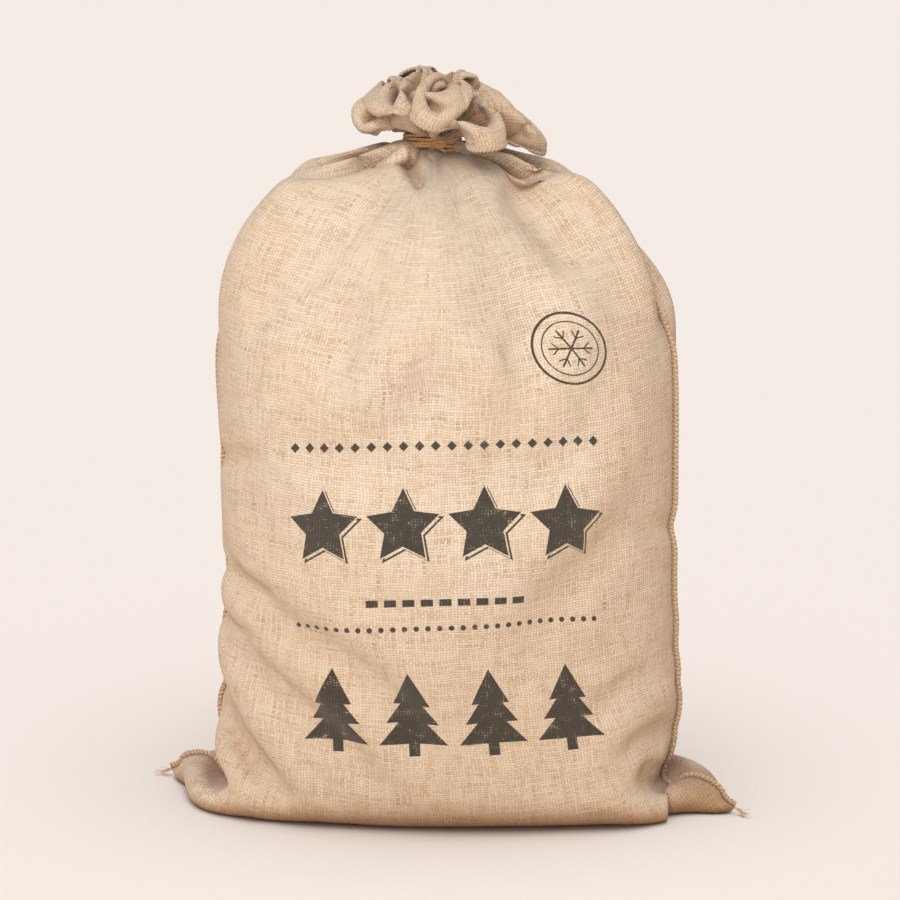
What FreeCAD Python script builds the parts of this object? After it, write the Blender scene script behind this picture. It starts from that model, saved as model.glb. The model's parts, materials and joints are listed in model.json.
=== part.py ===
"""Fabric gift sack: a stuffed jute sack that stands on the floor and is tied shut at the neck with twine.

Millimetres, +Z up, origin on the floor under the middle of the sack, the printed front facing -Y.
The sack is cut flat, 500 wide and 800 tall, from a front and a back panel. They are serged together
along both sides and the bottom, with the seam outside. Filled with loose wadding it swells to a
cushion shape, and the bottom corners, which the filling doesn't reach, stay out as pinched ears.
"""

import FreeCAD
import Part
import Sketcher
import math
import os

# Name, height, half width and half depth of each level section of the filled sack.
STATIONS = [
    ("foot", 0, 168, 82),
    ("sole", 8, 184, 97),
    ("heel", 28, 193, 108),
    ("hip", 90, 196, 114),
    ("belly", 220, 195, 117),
    ("chest", 360, 196, 115),
    ("underarm", 430, 195, 107),
    ("shoulder", 490, 176, 93),
    ("slope", 532, 146, 75),
    ("yoke", 556, 106, 54),
    ("collar", 565, 62, 36),
]
LEANING = ("shoulder", "slope", "yoke", "collar")  # the sections that lean over with the neck

# The other driving dimensions: alias, value and what it is.
DIMENSIONS = [
    ("cloth", 1.2, "thickness of the jute cloth"),
    ("collar_wall", 3, "thickness of the bunched cloth round the neck hole"),
    ("panel_gap", 0.1, "hairline between the front and back panels where they are sewn together"),
    ("wad_gap", 0.5, "clearance between the wadding and the cloth round it"),
    ("wad_joint_low", 195, "height where the lower wad meets the middle one"),
    ("wad_joint_high", 385, "height where the middle wad meets the upper one"),
    ("seam_width", 9, "how far a serged side seam stands out"),
    ("seam_thick", 3.2, "thickness of a serged seam: two plies and thread"),
    ("seam_low", 45, "height where the side seams leave the ears"),
    ("seam_top", 545, "height where the side seams tuck under the neck"),
    ("bottom_seam_width", 8, "width of the bottom seam, folded flat"),
    ("bottom_seam_half", 166, "half length of the bottom seam under the sack"),
    ("stitch_pitch", 7, "distance from one stitch to the next"),
    ("stitch_length", 5.4, "length of a stitch"),
    ("stitch_thick", 1.1, "diameter of the seam thread"),
    ("neck_offset", -14, "how far the neck leans off the middle, along X"),
    ("neck_radius", 20, "radius of the bunched cloth inside the tie"),
    ("nod_height", 573, "height of the bend under the tie"),
    ("sway_height", 592, "height of the bend over the tie"),
    ("bend_gap", 0.6, "clearance between cloth parts that move on each other"),
    ("twine", 3, "diameter of the neck twine"),
    ("twine_turns", 4, "turns of twine round the neck"),
    ("twine_gap", 0.4, "clearance between twine and neck"),
    ("twine_pitch", 3.1, "rise of the twine for each turn"),
    ("twine_bottom", 576.5, "height of the middle of the twine's lowest turn"),
    ("knot_width", 11, "width of the knot"),
    ("knot_height", 8, "height of the knot"),
    ("twine_end", 13, "length of each cut end past the knot"),
    ("crown_offset", 0, "where the middle of the bunched mouth is, along X"),
    ("crown_radius", 75, "largest radius of the bunched mouth"),
    ("crown_low", 598, "height of the underside of the bunched mouth"),
    ("crown_top", 645, "height of the sack"),
    ("crown_folds", 9, "folds round the bunched mouth"),
    ("fold_radius", 13, "radius of the valley between two folds"),
    ("rim_radius", 50, "radius of the hemmed rim"),
    ("hem_thick", 4.4, "diameter of the rolled hem"),
    ("hem_stitches", 45, "stitches round the rim"),
    ("ear_root", 170, "distance of an ear's root section from the middle, inside the sack"),
    ("ear_root_height", 26, "height of the middle of the root section"),
    ("ear_root_half_width", 50, "half width of the root section, along Y"),
    ("ear_root_half_height", 18, "half height of the root section"),
    ("ear_reach", 240, "distance of an ear's point from the middle"),
    ("ear_point_height", 5, "height of the middle of an ear's point"),
    ("ear_point_half_width", 7, "half width of an ear's point"),
    ("ear_point_half_height", 2.5, "half height of an ear's point"),
    ("ear_gap", 1, "clearance between an ear and the filled sack"),
    ("ear_edge", 5, "how far the serged edge of an ear stands out"),
    ("ear_seam_start", 199, "distance of the serged edge's inner end from the middle"),
    ("tail_length", 10, "length of the thread tail at an ear's point"),
]

SHEET = "Dimensions"
SPAN = 400.0  # half size of the large boxes that halve a shape
UP = FreeCAD.Vector(0, 0, 1)
NODES = {}  # node name to document object


def value(sheet, alias):
    """The number in the cell with that alias."""
    return float(sheet.get(alias))


def make_sheet(doc):
    """The spreadsheet of driving dimensions: alias, value, meaning."""
    sheet = doc.addObject("Spreadsheet::Sheet", SHEET)
    rows = list(DIMENSIONS)
    for name, height, half_width, half_depth in STATIONS:
        rows.append((name + "_height", height, "height of the section at the " + name))
        rows.append((name + "_half_width", half_width, "its half width"))
        rows.append((name + "_half_depth", half_depth, "its half depth"))
    for row, (alias, number, meaning) in enumerate(rows, start=1):
        sheet.set(f"A{row}", alias)
        sheet.set(f"B{row}", str(number))
        sheet.set(f"C{row}", meaning)
        sheet.setAlias(f"B{row}", alias)
    doc.recompute()
    return sheet


def qualified(text):
    """An expression with the sheet's name put before each cell's alias. Only aliases start with a letter."""
    words = [f"{SHEET}.{word}" if word[0].isalpha() else word for word in text.split()]
    return " ".join(words)


def bind(obj, **expressions):
    """Binds properties to the sheet. A double underscore in a property's name stands for a dot."""
    for name, text in expressions.items():
        obj.setExpression(name.replace("__", "."), qualified(text))
    return obj


def node(obj, name):
    """Marks a document object as the sub-part of that name."""
    obj.Label = name
    NODES[name] = obj
    return obj


def combine(doc, kind, name, *shapes):
    """A boolean of document objects: Cut and Common take two, MultiFuse any number."""
    result = doc.addObject("Part::" + kind, name)
    if kind == "MultiFuse":
        result.Shapes = list(shapes)
    else:
        result.Base, result.Tool = shapes
    return result


def half_space(doc, name, x=0, y=0):
    """A large box. An x or y of -1 or 1 keeps only that side of the middle plane."""
    box = doc.addObject("Part::Box", name)
    box.Length = SPAN * (1 if x else 2)
    box.Width = SPAN * (1 if y else 2)
    box.Height = 2 * SPAN
    box.Placement.Base = FreeCAD.Vector(0 if x > 0 else -SPAN, 0 if y > 0 else -SPAN, 0)
    return box


def halves(doc, whole, front_name, back_name, gap="0 * cloth"):
    """The front and back half of a shape, as two sub-parts. The gap between them is an expression."""
    for name, side in ((front_name, -1), (back_name, 1)):
        half = half_space(doc, name + "_side", y=side)
        bind(half, Placement__Base__y=f"{min(side, 0) * SPAN:.0f} + {side} * {gap} / 2")
        node(combine(doc, "Common", name, whole, half), name)


def sack_loft(doc, name, grow, low="foot_height", high="collar_height"):
    """The filled sack as a loft of ellipses, grown all round by an expression, between two heights."""
    sections = []
    for station, *_ in STATIONS:
        height = {"foot": low, "collar": high}.get(station, station + "_height")
        ring = doc.addObject("Part::Ellipse", f"{name}_{station}")
        bind(
            ring,
            MajorRadius=f"{station}_half_width + ( {grow} )",
            MinorRadius=f"{station}_half_depth + ( {grow} )",
            Placement__Base__z=height,
        )
        if station in LEANING:
            share = f"( {station}_height - underarm_height ) / ( collar_height - underarm_height )"
            bind(ring, Placement__Base__x=f"neck_offset * ( {share} ) ^ 2")
        sections.append(ring)
    loft = doc.addObject("Part::Loft", name)
    loft.Sections = sections
    loft.Solid = True
    return loft


def ball(doc, name, radius, height):
    """A ball at the middle of the neck."""
    sphere = doc.addObject("Part::Sphere", name)
    return bind(sphere, Radius=radius, Placement__Base__x="neck_offset", Placement__Base__z=height)


def make_shell(doc, outer):
    """The front and back panels, with the wadding inside them and the seam under them."""
    inner = sack_loft(doc, "Inside", "0 - cloth", "cloth", "collar_height - collar_wall")
    seam = doc.addObject("Part::Box", "bottom_seam")
    bind(
        seam,
        Length="2 * bottom_seam_half",
        Width="bottom_seam_width",
        Height="seam_thick",
        Placement__Base__x="0 - bottom_seam_half",
        Placement__Base__y="0 - bottom_seam_width / 2",
    )
    node(seam, "bottom_seam")
    socket = ball(doc, "NeckSocket", "neck_radius + bend_gap", "nod_height")
    skin = combine(doc, "Cut", "Skin", outer, inner)
    skin = combine(doc, "Cut", "SkinOverSeam", skin, seam)
    skin = combine(doc, "Cut", "OpenSkin", skin, socket)
    halves(doc, skin, "front_panel", "back_panel", "panel_gap")
    make_wadding(doc)


def make_wadding(doc):
    """Three wads of loose filling that lie on each other and fill the sack."""
    low = "seam_thick + wad_gap"
    high = "collar_height - collar_wall - wad_gap"
    filled = sack_loft(doc, "Filled", "0 - cloth - wad_gap", low, high)
    socket = ball(doc, "WadSocket", "neck_radius + bend_gap + wad_gap", "nod_height")
    room = combine(doc, "Cut", "Room", filled, socket)
    wads = (
        ("padding_lower", "0 * cloth", "wad_joint_low"),
        ("padding_middle", "wad_joint_low", "wad_joint_high"),
        ("padding_upper", "wad_joint_high", "crown_top"),
    )
    for name, low, high in wads:
        slab = half_space(doc, name + "_slab")
        bind(slab, Placement__Base__z=low, Height=f"{high} - ( {low} )")
        node(combine(doc, "Common", name, room, slab), name)


def make_side_seams(doc, outer):
    """A serged seam that stands out along each side, from the ear up to the neck."""
    grown = sack_loft(doc, "SeamOutline", "seam_width")
    slab = half_space(doc, "SeamSlab")
    bind(
        slab,
        Width="seam_thick",
        Height="seam_top - seam_low",
        Placement__Base__y="0 - seam_thick / 2",
        Placement__Base__z="seam_low",
    )
    band = combine(doc, "Common", "SeamBand", grown, slab)
    ridge = combine(doc, "Cut", "SeamRidge", band, outer)
    for name, side in (("left_side_seam", -1), ("right_side_seam", 1)):
        node(combine(doc, "Common", name, ridge, half_space(doc, name + "_side", x=side)), name)


def make_seam_threads(doc, sheet, outer):
    """A row of stitches on the front face of each side seam."""
    pitch = value(sheet, "stitch_pitch")
    radius = value(sheet, "stitch_thick") / 2
    length = value(sheet, "stitch_length")
    out = value(sheet, "seam_width") / 2
    face = -(value(sheet, "seam_thick") / 2 + radius)
    low = value(sheet, "seam_low") + pitch
    high = value(sheet, "seam_top") - pitch
    middle = value(sheet, "neck_offset")
    outline = outer.Shape.slice(FreeCAD.Vector(0, 1, 0), 0)[0].discretize(Distance=pitch)
    for name, side in (("left_seam_thread", -1), ("right_seam_thread", 1)):
        run = [p for p in outline if low < p.z < high and (p.x - middle) * side > 0]
        run.sort(key=lambda p: p.z)
        stitches = []
        for start, end in zip(run, run[1:]):
            along = (end - start).normalize()
            away = FreeCAD.Vector(along.z, 0, -along.x) * side * out
            place = start + away + FreeCAD.Vector(0, face, 0)
            stitches.append(Part.makeCylinder(radius, length, place, along))
        thread = doc.addObject("Part::Feature", name)
        thread.Shape = Part.makeCompound(stitches)
        node(thread, name)


def make_neck(doc):
    """The bunched cloth inside the tie: a stem with a round end at each bend."""
    stem = doc.addObject("Part::Cylinder", "NeckStem")
    bind(
        stem,
        Radius="neck_radius",
        Height="sway_height - nod_height",
        Placement__Base__x="neck_offset",
        Placement__Base__z="nod_height",
    )
    low_end = ball(doc, "NeckLowEnd", "neck_radius", "nod_height")
    high_end = ball(doc, "NeckHighEnd", "neck_radius", "sway_height")
    neck = combine(doc, "MultiFuse", "Neck", stem, low_end, high_end)
    halves(doc, neck, "neck_gather_front", "neck_gather_back")


def make_twine(doc, sheet):
    """The twine: closed turns round the neck, a knot in front and two short cut ends."""
    radius = "neck_radius + twine_gap + twine / 2"
    turns = int(value(sheet, "twine_turns"))
    pieces = []
    for i in range(turns):
        turn = doc.addObject("Part::Torus", f"TwineTurn{i + 1}")
        bind(
            turn,
            Radius1=radius,
            Radius2="twine / 2",
            Placement__Base__x="neck_offset",
            Placement__Base__z=f"twine_bottom + {i} * twine_pitch",
        )
        pieces.append(turn)
    knot_place = {
        "Placement__Base__x": "neck_offset",
        "Placement__Base__y": "0 - neck_radius - twine_gap - twine",
        "Placement__Base__z": f"twine_bottom + {(turns - 1) / 2} * twine_pitch",
    }
    knot = doc.addObject("Part::Ellipsoid", "Knot")
    bind(knot, Radius1="knot_height / 2", Radius2="knot_width / 2", Radius3="twine", **knot_place)
    pieces.append(knot)
    for side in (-1, 1):
        # Each end leaves the knot sideways and a little forward.
        end = doc.addObject("Part::Cylinder", "TwineEnd")
        end.Placement.Rotation = FreeCAD.Rotation(UP, FreeCAD.Vector(side, -0.4, 0.2 * side))
        bind(end, Radius="twine / 2", Height="twine_end", **knot_place)
        pieces.append(end)
    node(combine(doc, "MultiFuse", "neck_twine", *pieces), "neck_twine")


def crown_profile(sheet):
    """Half section of the bunched mouth, from its axis out: a dished top over a flared skirt."""
    low = value(sheet, "crown_low")
    top = value(sheet, "crown_top")
    wide = value(sheet, "crown_radius")
    rim = value(sheet, "rim_radius")
    stem = value(sheet, "neck_radius") * 0.8
    dish = (low + top * 2) / 3
    outline = Part.BSplineCurve()
    outline.interpolate(
        [
            FreeCAD.Vector(rim * 0.3, 0, dish),
            FreeCAD.Vector(rim * 0.75, 0, top - 6),
            FreeCAD.Vector(rim, 0, top),
            FreeCAD.Vector(wide * 0.9, 0, top - 7),
            FreeCAD.Vector(wide, 0, (low + top) / 2),
            FreeCAD.Vector(wide * 0.9, 0, low + 10),
            FreeCAD.Vector(wide * 0.6, 0, low + 3),
            FreeCAD.Vector(stem, 0, low),
        ]
    )
    foot = FreeCAD.Vector(0, 0, low)
    head = FreeCAD.Vector(0, 0, dish)
    edges = [
        outline.toShape(),
        Part.makeLine(outline.EndPoint, foot),
        Part.makeLine(foot, head),
        Part.makeLine(head, outline.StartPoint),
    ]
    return Part.Face(Part.Wire(edges))


def fold_valleys(doc, sheet):
    """Upright cylinders round the bunched mouth, one in the valley between each two folds."""
    count = int(value(sheet, "crown_folds"))
    valleys = []
    for i in range(count):
        angle = 360 * (i + 0.5) / count
        valley = doc.addObject("Part::Cylinder", f"Valley{i + 1}")
        valley.Height = 2 * SPAN
        bind(
            valley,
            Radius="fold_radius",
            Placement__Base__x=f"crown_offset + ( crown_radius + fold_radius / 6 ) * {cosine(angle)}",
            Placement__Base__y=f"( crown_radius + fold_radius / 6 ) * {cosine(angle - 90)}",
        )
        valleys.append(valley)
    return combine(doc, "MultiFuse", "Valleys", *valleys)


def cosine(degrees):
    """The cosine of an angle, as text for an expression."""
    return f"( {math.cos(math.radians(degrees)):.6f} )"


def make_crown(doc, sheet):
    """The mouth above the tie: a front and a back ruffle, with a rolled hem and its thread."""
    profile = doc.addObject("Part::Feature", "CrownProfile")
    profile.Shape = crown_profile(sheet)
    bell = doc.addObject("Part::Revolution", "CrownBell")
    bell.Source = profile
    bell.Axis = UP
    bell.Solid = True
    bind(bell, Placement__Base__x="crown_offset")
    folded = combine(doc, "Cut", "FoldedCrown", bell, fold_valleys(doc, sheet))
    seat = ball(doc, "CrownSeat", "neck_radius + bend_gap", "sway_height")
    seated = combine(doc, "Cut", "SeatedCrown", folded, seat)
    hem = doc.addObject("Part::Torus", "mouth_hem")
    bind(
        hem,
        Radius1="rim_radius",
        Radius2="hem_thick / 2",
        Placement__Base__x="crown_offset",
        Placement__Base__z="crown_top - stitch_thick - hem_thick / 2",
    )
    node(hem, "mouth_hem")
    headroom = half_space(doc, "OverTheHem")
    bind(headroom, Placement__Base__z="crown_top - stitch_thick - hem_thick / 2")
    cup = combine(doc, "MultiFuse", "HemAndHeadroom", hem, headroom)
    halves(
        doc,
        combine(doc, "Cut", "Ruffle", seated, cup),
        "mouth_ruffle_front",
        "mouth_ruffle_back",
    )


def make_hem_thread(doc, sheet):
    """Slanting stitches over the top of the rolled hem."""
    count = int(value(sheet, "hem_stitches"))
    radius = value(sheet, "stitch_thick") / 2
    length = value(sheet, "stitch_length")
    rim = FreeCAD.Vector(0, value(sheet, "rim_radius"), value(sheet, "crown_top") - radius)
    way = FreeCAD.Vector(1, 0.4, 0).normalize()
    stitches = []
    for i in range(count):
        rod = Part.makeCylinder(radius, length, rim - way * (length / 2), way)
        rod.rotate(FreeCAD.Vector(), UP, 360 * i / count)
        stitches.append(rod)
    thread = doc.addObject("Part::Feature", "mouth_hem_thread")
    thread.Shape = Part.makeCompound(stitches)
    bind(thread, Placement__Base__x="crown_offset")
    node(thread, "mouth_hem_thread")


def ear_cone(doc, name, side):
    """An ear as a flattened cone that lies on the floor. side is -1 at the left, 1 at the right."""
    cone = doc.addObject("Part::Loft", name)
    sections = []
    for end, reach in (("root", "ear_root"), ("point", "ear_reach")):
        ring = doc.addObject("Part::Ellipse", f"{name}_{end}")
        # The ellipse is turned to lie across the ear: its long axis along Y and its short one along Z.
        ring.Placement.Rotation = FreeCAD.Rotation(FreeCAD.Vector(1, 1, 1), 120)
        bind(
            ring,
            MajorRadius=f"ear_{end}_half_width",
            MinorRadius=f"ear_{end}_half_height",
            Placement__Base__x=f"{side} * {reach}",
            Placement__Base__z=f"ear_{end}_height",
        )
        sections.append(ring)
    cone.Sections = sections
    cone.Solid = True
    cone.Ruled = True
    return cone


def polygon_sketch(body, name, corners):
    """A closed polygon on the body's XZ plane, each corner a pair of expressions for X and Z."""
    sketch = body.newObject("Sketcher::SketchObject", name)
    plane = next(p for p in body.Origin.OriginFeatures if p.Role == "XZ_Plane")
    sketch.AttachmentSupport = (plane, "")
    sketch.MapMode = "FlatFace"
    places = [FreeCAD.Vector(*(evaluate(sketch, text) for text in corner)) for corner in corners]
    for i, place in enumerate(places):
        sketch.addGeometry(Part.LineSegment(place, places[(i + 1) % len(places)]), False)
    for i in range(len(places)):
        join = Sketcher.Constraint("Coincident", i, 2, (i + 1) % len(places), 1)
        sketch.addConstraint(join)
    for i, corner in enumerate(corners):
        for axis, text in zip("XY", corner):
            size = evaluate(sketch, text)
            rule = sketch.addConstraint(Sketcher.Constraint("Distance" + axis, -1, 1, i, 1, size))
            sketch.renameConstraint(rule, f"corner{i}{axis}")
            bind(sketch, **{f"Constraints__corner{i}{axis}": text})
    return sketch


def evaluate(obj, text):
    """The number that an expression of cell names gives."""
    return float(obj.evalExpression(qualified(text)))


def ear_seam(doc, name, side):
    """The serged edge of an ear: a flat strip along its ridge that turns down round its point."""
    fall = "( ear_root_height + ear_root_half_height - ear_point_height - ear_point_half_height )"
    share = "( ear_seam_start - ear_root ) / ( ear_reach - ear_root )"
    start = f"ear_root_height + ear_root_half_height - {share} * {fall}"
    point_top = "ear_point_height + ear_point_half_height"
    point_low = "ear_point_height - ear_point_half_height"
    body = doc.addObject("PartDesign::Body", name)
    corners = [
        ("ear_seam_start", start),
        ("ear_reach", point_top),
        ("ear_reach", point_low),
        ("ear_reach + ear_edge", point_low),
        ("ear_reach + ear_edge", point_top),
        ("ear_seam_start", start + " + ear_edge"),
    ]
    pad = body.newObject("PartDesign::Pad", name + "_pad")
    pad.Profile = polygon_sketch(body, name + "_outline", corners)
    pad.SideType = "Symmetric"
    bind(pad, Length="seam_thick")
    body.Placement.Rotation = FreeCAD.Rotation(UP, 0 if side > 0 else 180)
    return body


def make_ear(doc, word, side, clearance):
    """A bottom corner: a front and a back ply, the serged edge between them and its thread tail."""
    cone = ear_cone(doc, f"{word}_ear_cone", side)
    free = combine(doc, "Cut", f"{word}_ear_free", cone, clearance)
    halves(doc, free, f"{word}_ear_front_ply", f"{word}_ear_back_ply")
    node(ear_seam(doc, f"{word}_ear_seam", side), f"{word}_ear_seam")
    tail = doc.addObject("Part::Cone", f"{word}_ear_thread_tail")
    tail.Placement.Rotation = FreeCAD.Rotation(UP, FreeCAD.Vector(side, 0, 0))
    bind(
        tail,
        Radius1="seam_thick / 2",
        Radius2="stitch_thick / 2",
        Height="tail_length",
        Placement__Base__x=f"{side} * ( ear_reach + ear_edge )",
        Placement__Base__z="ear_point_height",
    )
    node(tail, f"{word}_ear_thread_tail")


def check(doc):
    """Stops if an object failed or a sub-part's shape is empty or not valid."""
    failed = [o.Name for o in doc.Objects if {"Invalid", "Error"} & set(o.State)]
    if failed:
        raise SystemExit(f"these objects failed: {failed}")
    for name, obj in NODES.items():
        shape = obj.Shape
        if shape.isNull() or not shape.isValid() or not shape.Solids:
            raise SystemExit(f"{name} has no valid solid")
        print(f"{name}: {len(shape.Solids)} solid(s), {shape.Volume / 1000:.2f} cm3")


def main():
    doc = FreeCAD.newDocument("GiftSack")
    sheet = make_sheet(doc)
    outer = sack_loft(doc, "Outside", "0 * cloth")
    make_shell(doc, outer)
    make_side_seams(doc, outer)
    doc.recompute()
    make_seam_threads(doc, sheet, outer)
    make_neck(doc)
    make_twine(doc, sheet)
    make_crown(doc, sheet)
    make_hem_thread(doc, sheet)
    clearance = sack_loft(doc, "EarClearance", "ear_gap")
    for word, side in (("left", -1), ("right", 1)):
        make_ear(doc, word, side, clearance)
    doc.recompute()
    check(doc)
    os.makedirs("parts", exist_ok=True)
    for name, obj in NODES.items():
        obj.Shape.exportStep(f"parts/{name}.step")


main()
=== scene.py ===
"""Looks of the stuffed jute gift sack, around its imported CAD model. Metres, +Z up, the front faces -Y.

The cloth is one grid of points that runs round the sack: the front panel from the left seam to the
right one, then the back panel home again. Rows go up from the bottom seam. Each point keeps its
place in the flat cut, so threads and print follow the cloth. The grid is wrapped round the filling
and settled as cloth, then cut into its pieces.
"""

import json
import math

import bpy
import numpy as np
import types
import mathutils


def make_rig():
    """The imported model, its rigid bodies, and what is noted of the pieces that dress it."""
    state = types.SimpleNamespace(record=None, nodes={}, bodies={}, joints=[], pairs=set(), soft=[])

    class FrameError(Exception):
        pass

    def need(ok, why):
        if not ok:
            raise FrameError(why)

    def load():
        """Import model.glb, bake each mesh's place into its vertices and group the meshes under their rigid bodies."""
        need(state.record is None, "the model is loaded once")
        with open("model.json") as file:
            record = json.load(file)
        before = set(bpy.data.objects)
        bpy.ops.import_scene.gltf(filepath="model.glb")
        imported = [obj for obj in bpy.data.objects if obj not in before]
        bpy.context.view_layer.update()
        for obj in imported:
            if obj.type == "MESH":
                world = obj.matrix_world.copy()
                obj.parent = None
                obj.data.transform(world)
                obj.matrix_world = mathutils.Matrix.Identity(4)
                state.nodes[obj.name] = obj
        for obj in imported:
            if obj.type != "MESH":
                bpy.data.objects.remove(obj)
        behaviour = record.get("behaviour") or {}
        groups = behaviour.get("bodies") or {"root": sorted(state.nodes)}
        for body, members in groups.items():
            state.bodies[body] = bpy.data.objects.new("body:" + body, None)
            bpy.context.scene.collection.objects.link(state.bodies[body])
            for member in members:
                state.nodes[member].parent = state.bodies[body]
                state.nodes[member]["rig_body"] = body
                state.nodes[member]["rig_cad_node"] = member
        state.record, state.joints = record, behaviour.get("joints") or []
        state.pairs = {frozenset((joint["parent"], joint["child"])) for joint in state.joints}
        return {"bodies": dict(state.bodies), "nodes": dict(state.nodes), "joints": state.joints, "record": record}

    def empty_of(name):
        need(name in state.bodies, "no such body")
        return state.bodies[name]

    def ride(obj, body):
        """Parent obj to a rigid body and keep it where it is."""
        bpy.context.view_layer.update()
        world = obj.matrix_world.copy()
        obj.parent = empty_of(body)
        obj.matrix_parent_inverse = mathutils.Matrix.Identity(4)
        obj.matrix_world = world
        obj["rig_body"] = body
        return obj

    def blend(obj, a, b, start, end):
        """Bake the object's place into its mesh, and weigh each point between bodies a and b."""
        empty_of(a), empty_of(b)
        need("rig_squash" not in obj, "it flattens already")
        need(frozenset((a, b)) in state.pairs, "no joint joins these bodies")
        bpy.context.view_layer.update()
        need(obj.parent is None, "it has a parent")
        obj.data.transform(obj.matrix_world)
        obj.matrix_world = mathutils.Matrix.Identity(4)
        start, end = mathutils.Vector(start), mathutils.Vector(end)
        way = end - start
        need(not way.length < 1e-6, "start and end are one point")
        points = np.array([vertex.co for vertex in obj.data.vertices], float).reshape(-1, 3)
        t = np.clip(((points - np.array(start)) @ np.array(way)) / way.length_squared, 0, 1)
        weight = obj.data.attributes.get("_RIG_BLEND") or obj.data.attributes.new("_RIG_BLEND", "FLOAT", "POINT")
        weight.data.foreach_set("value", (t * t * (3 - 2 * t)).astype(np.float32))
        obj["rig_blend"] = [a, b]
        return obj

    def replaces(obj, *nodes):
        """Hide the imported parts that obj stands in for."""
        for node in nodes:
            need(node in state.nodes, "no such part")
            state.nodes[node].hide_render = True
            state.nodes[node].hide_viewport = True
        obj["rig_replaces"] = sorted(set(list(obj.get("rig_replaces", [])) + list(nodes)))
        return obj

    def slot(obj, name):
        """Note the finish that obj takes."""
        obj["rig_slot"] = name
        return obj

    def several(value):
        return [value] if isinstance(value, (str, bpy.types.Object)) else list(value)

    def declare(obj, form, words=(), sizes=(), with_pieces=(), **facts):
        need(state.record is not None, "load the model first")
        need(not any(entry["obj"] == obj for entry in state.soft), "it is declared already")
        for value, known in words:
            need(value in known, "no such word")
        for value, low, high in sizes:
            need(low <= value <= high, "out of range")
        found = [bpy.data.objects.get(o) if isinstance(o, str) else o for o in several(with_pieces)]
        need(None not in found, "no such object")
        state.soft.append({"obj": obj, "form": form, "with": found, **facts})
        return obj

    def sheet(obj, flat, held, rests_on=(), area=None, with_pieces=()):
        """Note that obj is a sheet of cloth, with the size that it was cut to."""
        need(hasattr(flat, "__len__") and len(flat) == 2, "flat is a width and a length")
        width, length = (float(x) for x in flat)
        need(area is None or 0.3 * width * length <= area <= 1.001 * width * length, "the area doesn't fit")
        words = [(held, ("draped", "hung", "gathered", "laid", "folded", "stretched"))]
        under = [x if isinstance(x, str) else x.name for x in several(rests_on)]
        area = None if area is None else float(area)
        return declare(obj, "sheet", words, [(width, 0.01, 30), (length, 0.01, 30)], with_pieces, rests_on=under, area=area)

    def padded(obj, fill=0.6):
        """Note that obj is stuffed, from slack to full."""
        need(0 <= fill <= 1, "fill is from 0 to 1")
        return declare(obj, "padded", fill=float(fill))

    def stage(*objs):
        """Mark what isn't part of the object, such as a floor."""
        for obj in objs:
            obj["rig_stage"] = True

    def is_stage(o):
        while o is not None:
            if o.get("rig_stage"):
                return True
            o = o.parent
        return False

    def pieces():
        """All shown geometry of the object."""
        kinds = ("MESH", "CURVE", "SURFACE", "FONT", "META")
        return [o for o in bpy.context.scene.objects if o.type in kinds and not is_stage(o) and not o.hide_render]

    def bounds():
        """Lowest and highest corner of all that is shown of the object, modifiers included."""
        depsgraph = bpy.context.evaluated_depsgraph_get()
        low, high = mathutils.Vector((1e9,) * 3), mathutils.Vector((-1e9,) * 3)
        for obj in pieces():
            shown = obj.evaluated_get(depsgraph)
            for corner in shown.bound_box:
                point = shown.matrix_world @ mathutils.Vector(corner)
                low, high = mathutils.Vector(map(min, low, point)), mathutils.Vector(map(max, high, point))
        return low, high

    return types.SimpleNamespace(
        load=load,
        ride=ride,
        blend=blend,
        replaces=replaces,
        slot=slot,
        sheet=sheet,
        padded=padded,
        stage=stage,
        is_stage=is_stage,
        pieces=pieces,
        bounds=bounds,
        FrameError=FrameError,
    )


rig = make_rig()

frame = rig.load()
cad_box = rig.bounds()

MM = 0.001

# The flat cut: each panel is 500 x 800 mm, and the tie sits 100 mm under the rim.
PANEL_WIDTH = 0.5
PANEL_LENGTH = 0.8
TIE_ROW = 0.70
CLOTH_THICKNESS = 1.2 * MM
BACK_MIDDLE = 2.0  # where the middle of the back panel lies in the flat cut, clear of the front

# The grid of the cloth: squares of one size.
COLUMNS = 150
SQUARE = 2 * PANEL_WIDTH / COLUMNS
ROWS = round(TIE_ROW / SQUARE)

# The filled sack: height, half width, half depth and squareness of each level section.
SECTIONS = (
    (0.000, 0.168, 0.080, 2.5),
    (0.004, 0.178, 0.090, 2.5),
    (0.012, 0.186, 0.098, 2.4),
    (0.030, 0.191, 0.105, 2.3),
    (0.090, 0.195, 0.111, 2.1),
    (0.220, 0.194, 0.114, 2.0),
    (0.360, 0.195, 0.113, 2.0),
    (0.420, 0.193, 0.108, 2.0),
    (0.450, 0.184, 0.102, 2.0),
    (0.480, 0.167, 0.097, 2.0),
    (0.510, 0.144, 0.092, 2.0),
    (0.530, 0.120, 0.084, 2.0),
    (0.545, 0.095, 0.074, 2.0),
    (0.554, 0.069, 0.062, 2.0),
    (0.560, 0.045, 0.045, 2.0),
    (0.564, 0.026, 0.026, 2.0),
)
NECK = np.array([-0.014, 0.0, 0.579])
NECK_RADIUS = 0.021
FLOOR_GAP = 0.8 * MM
CEILING = 0.586  # how high the gathered cloth may stand at the neck
CEILING_SLOPE = 0.28
PLEATS = 7


def smooth(value, low, high):
    """A smooth ramp from 0 at low to 1 at high."""
    t = np.clip((value - low) / (high - low), 0, 1)
    return t * t * (3 - 2 * t)


def lengths(vectors):
    """The length of each vector, ready to divide the vectors by."""
    return np.linalg.norm(vectors, axis=-1, keepdims=True)


def running(steps):
    """Running totals of steps, from 0 on."""
    return np.concatenate([np.zeros_like(steps[:1]), np.cumsum(steps, axis=0)])


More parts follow.
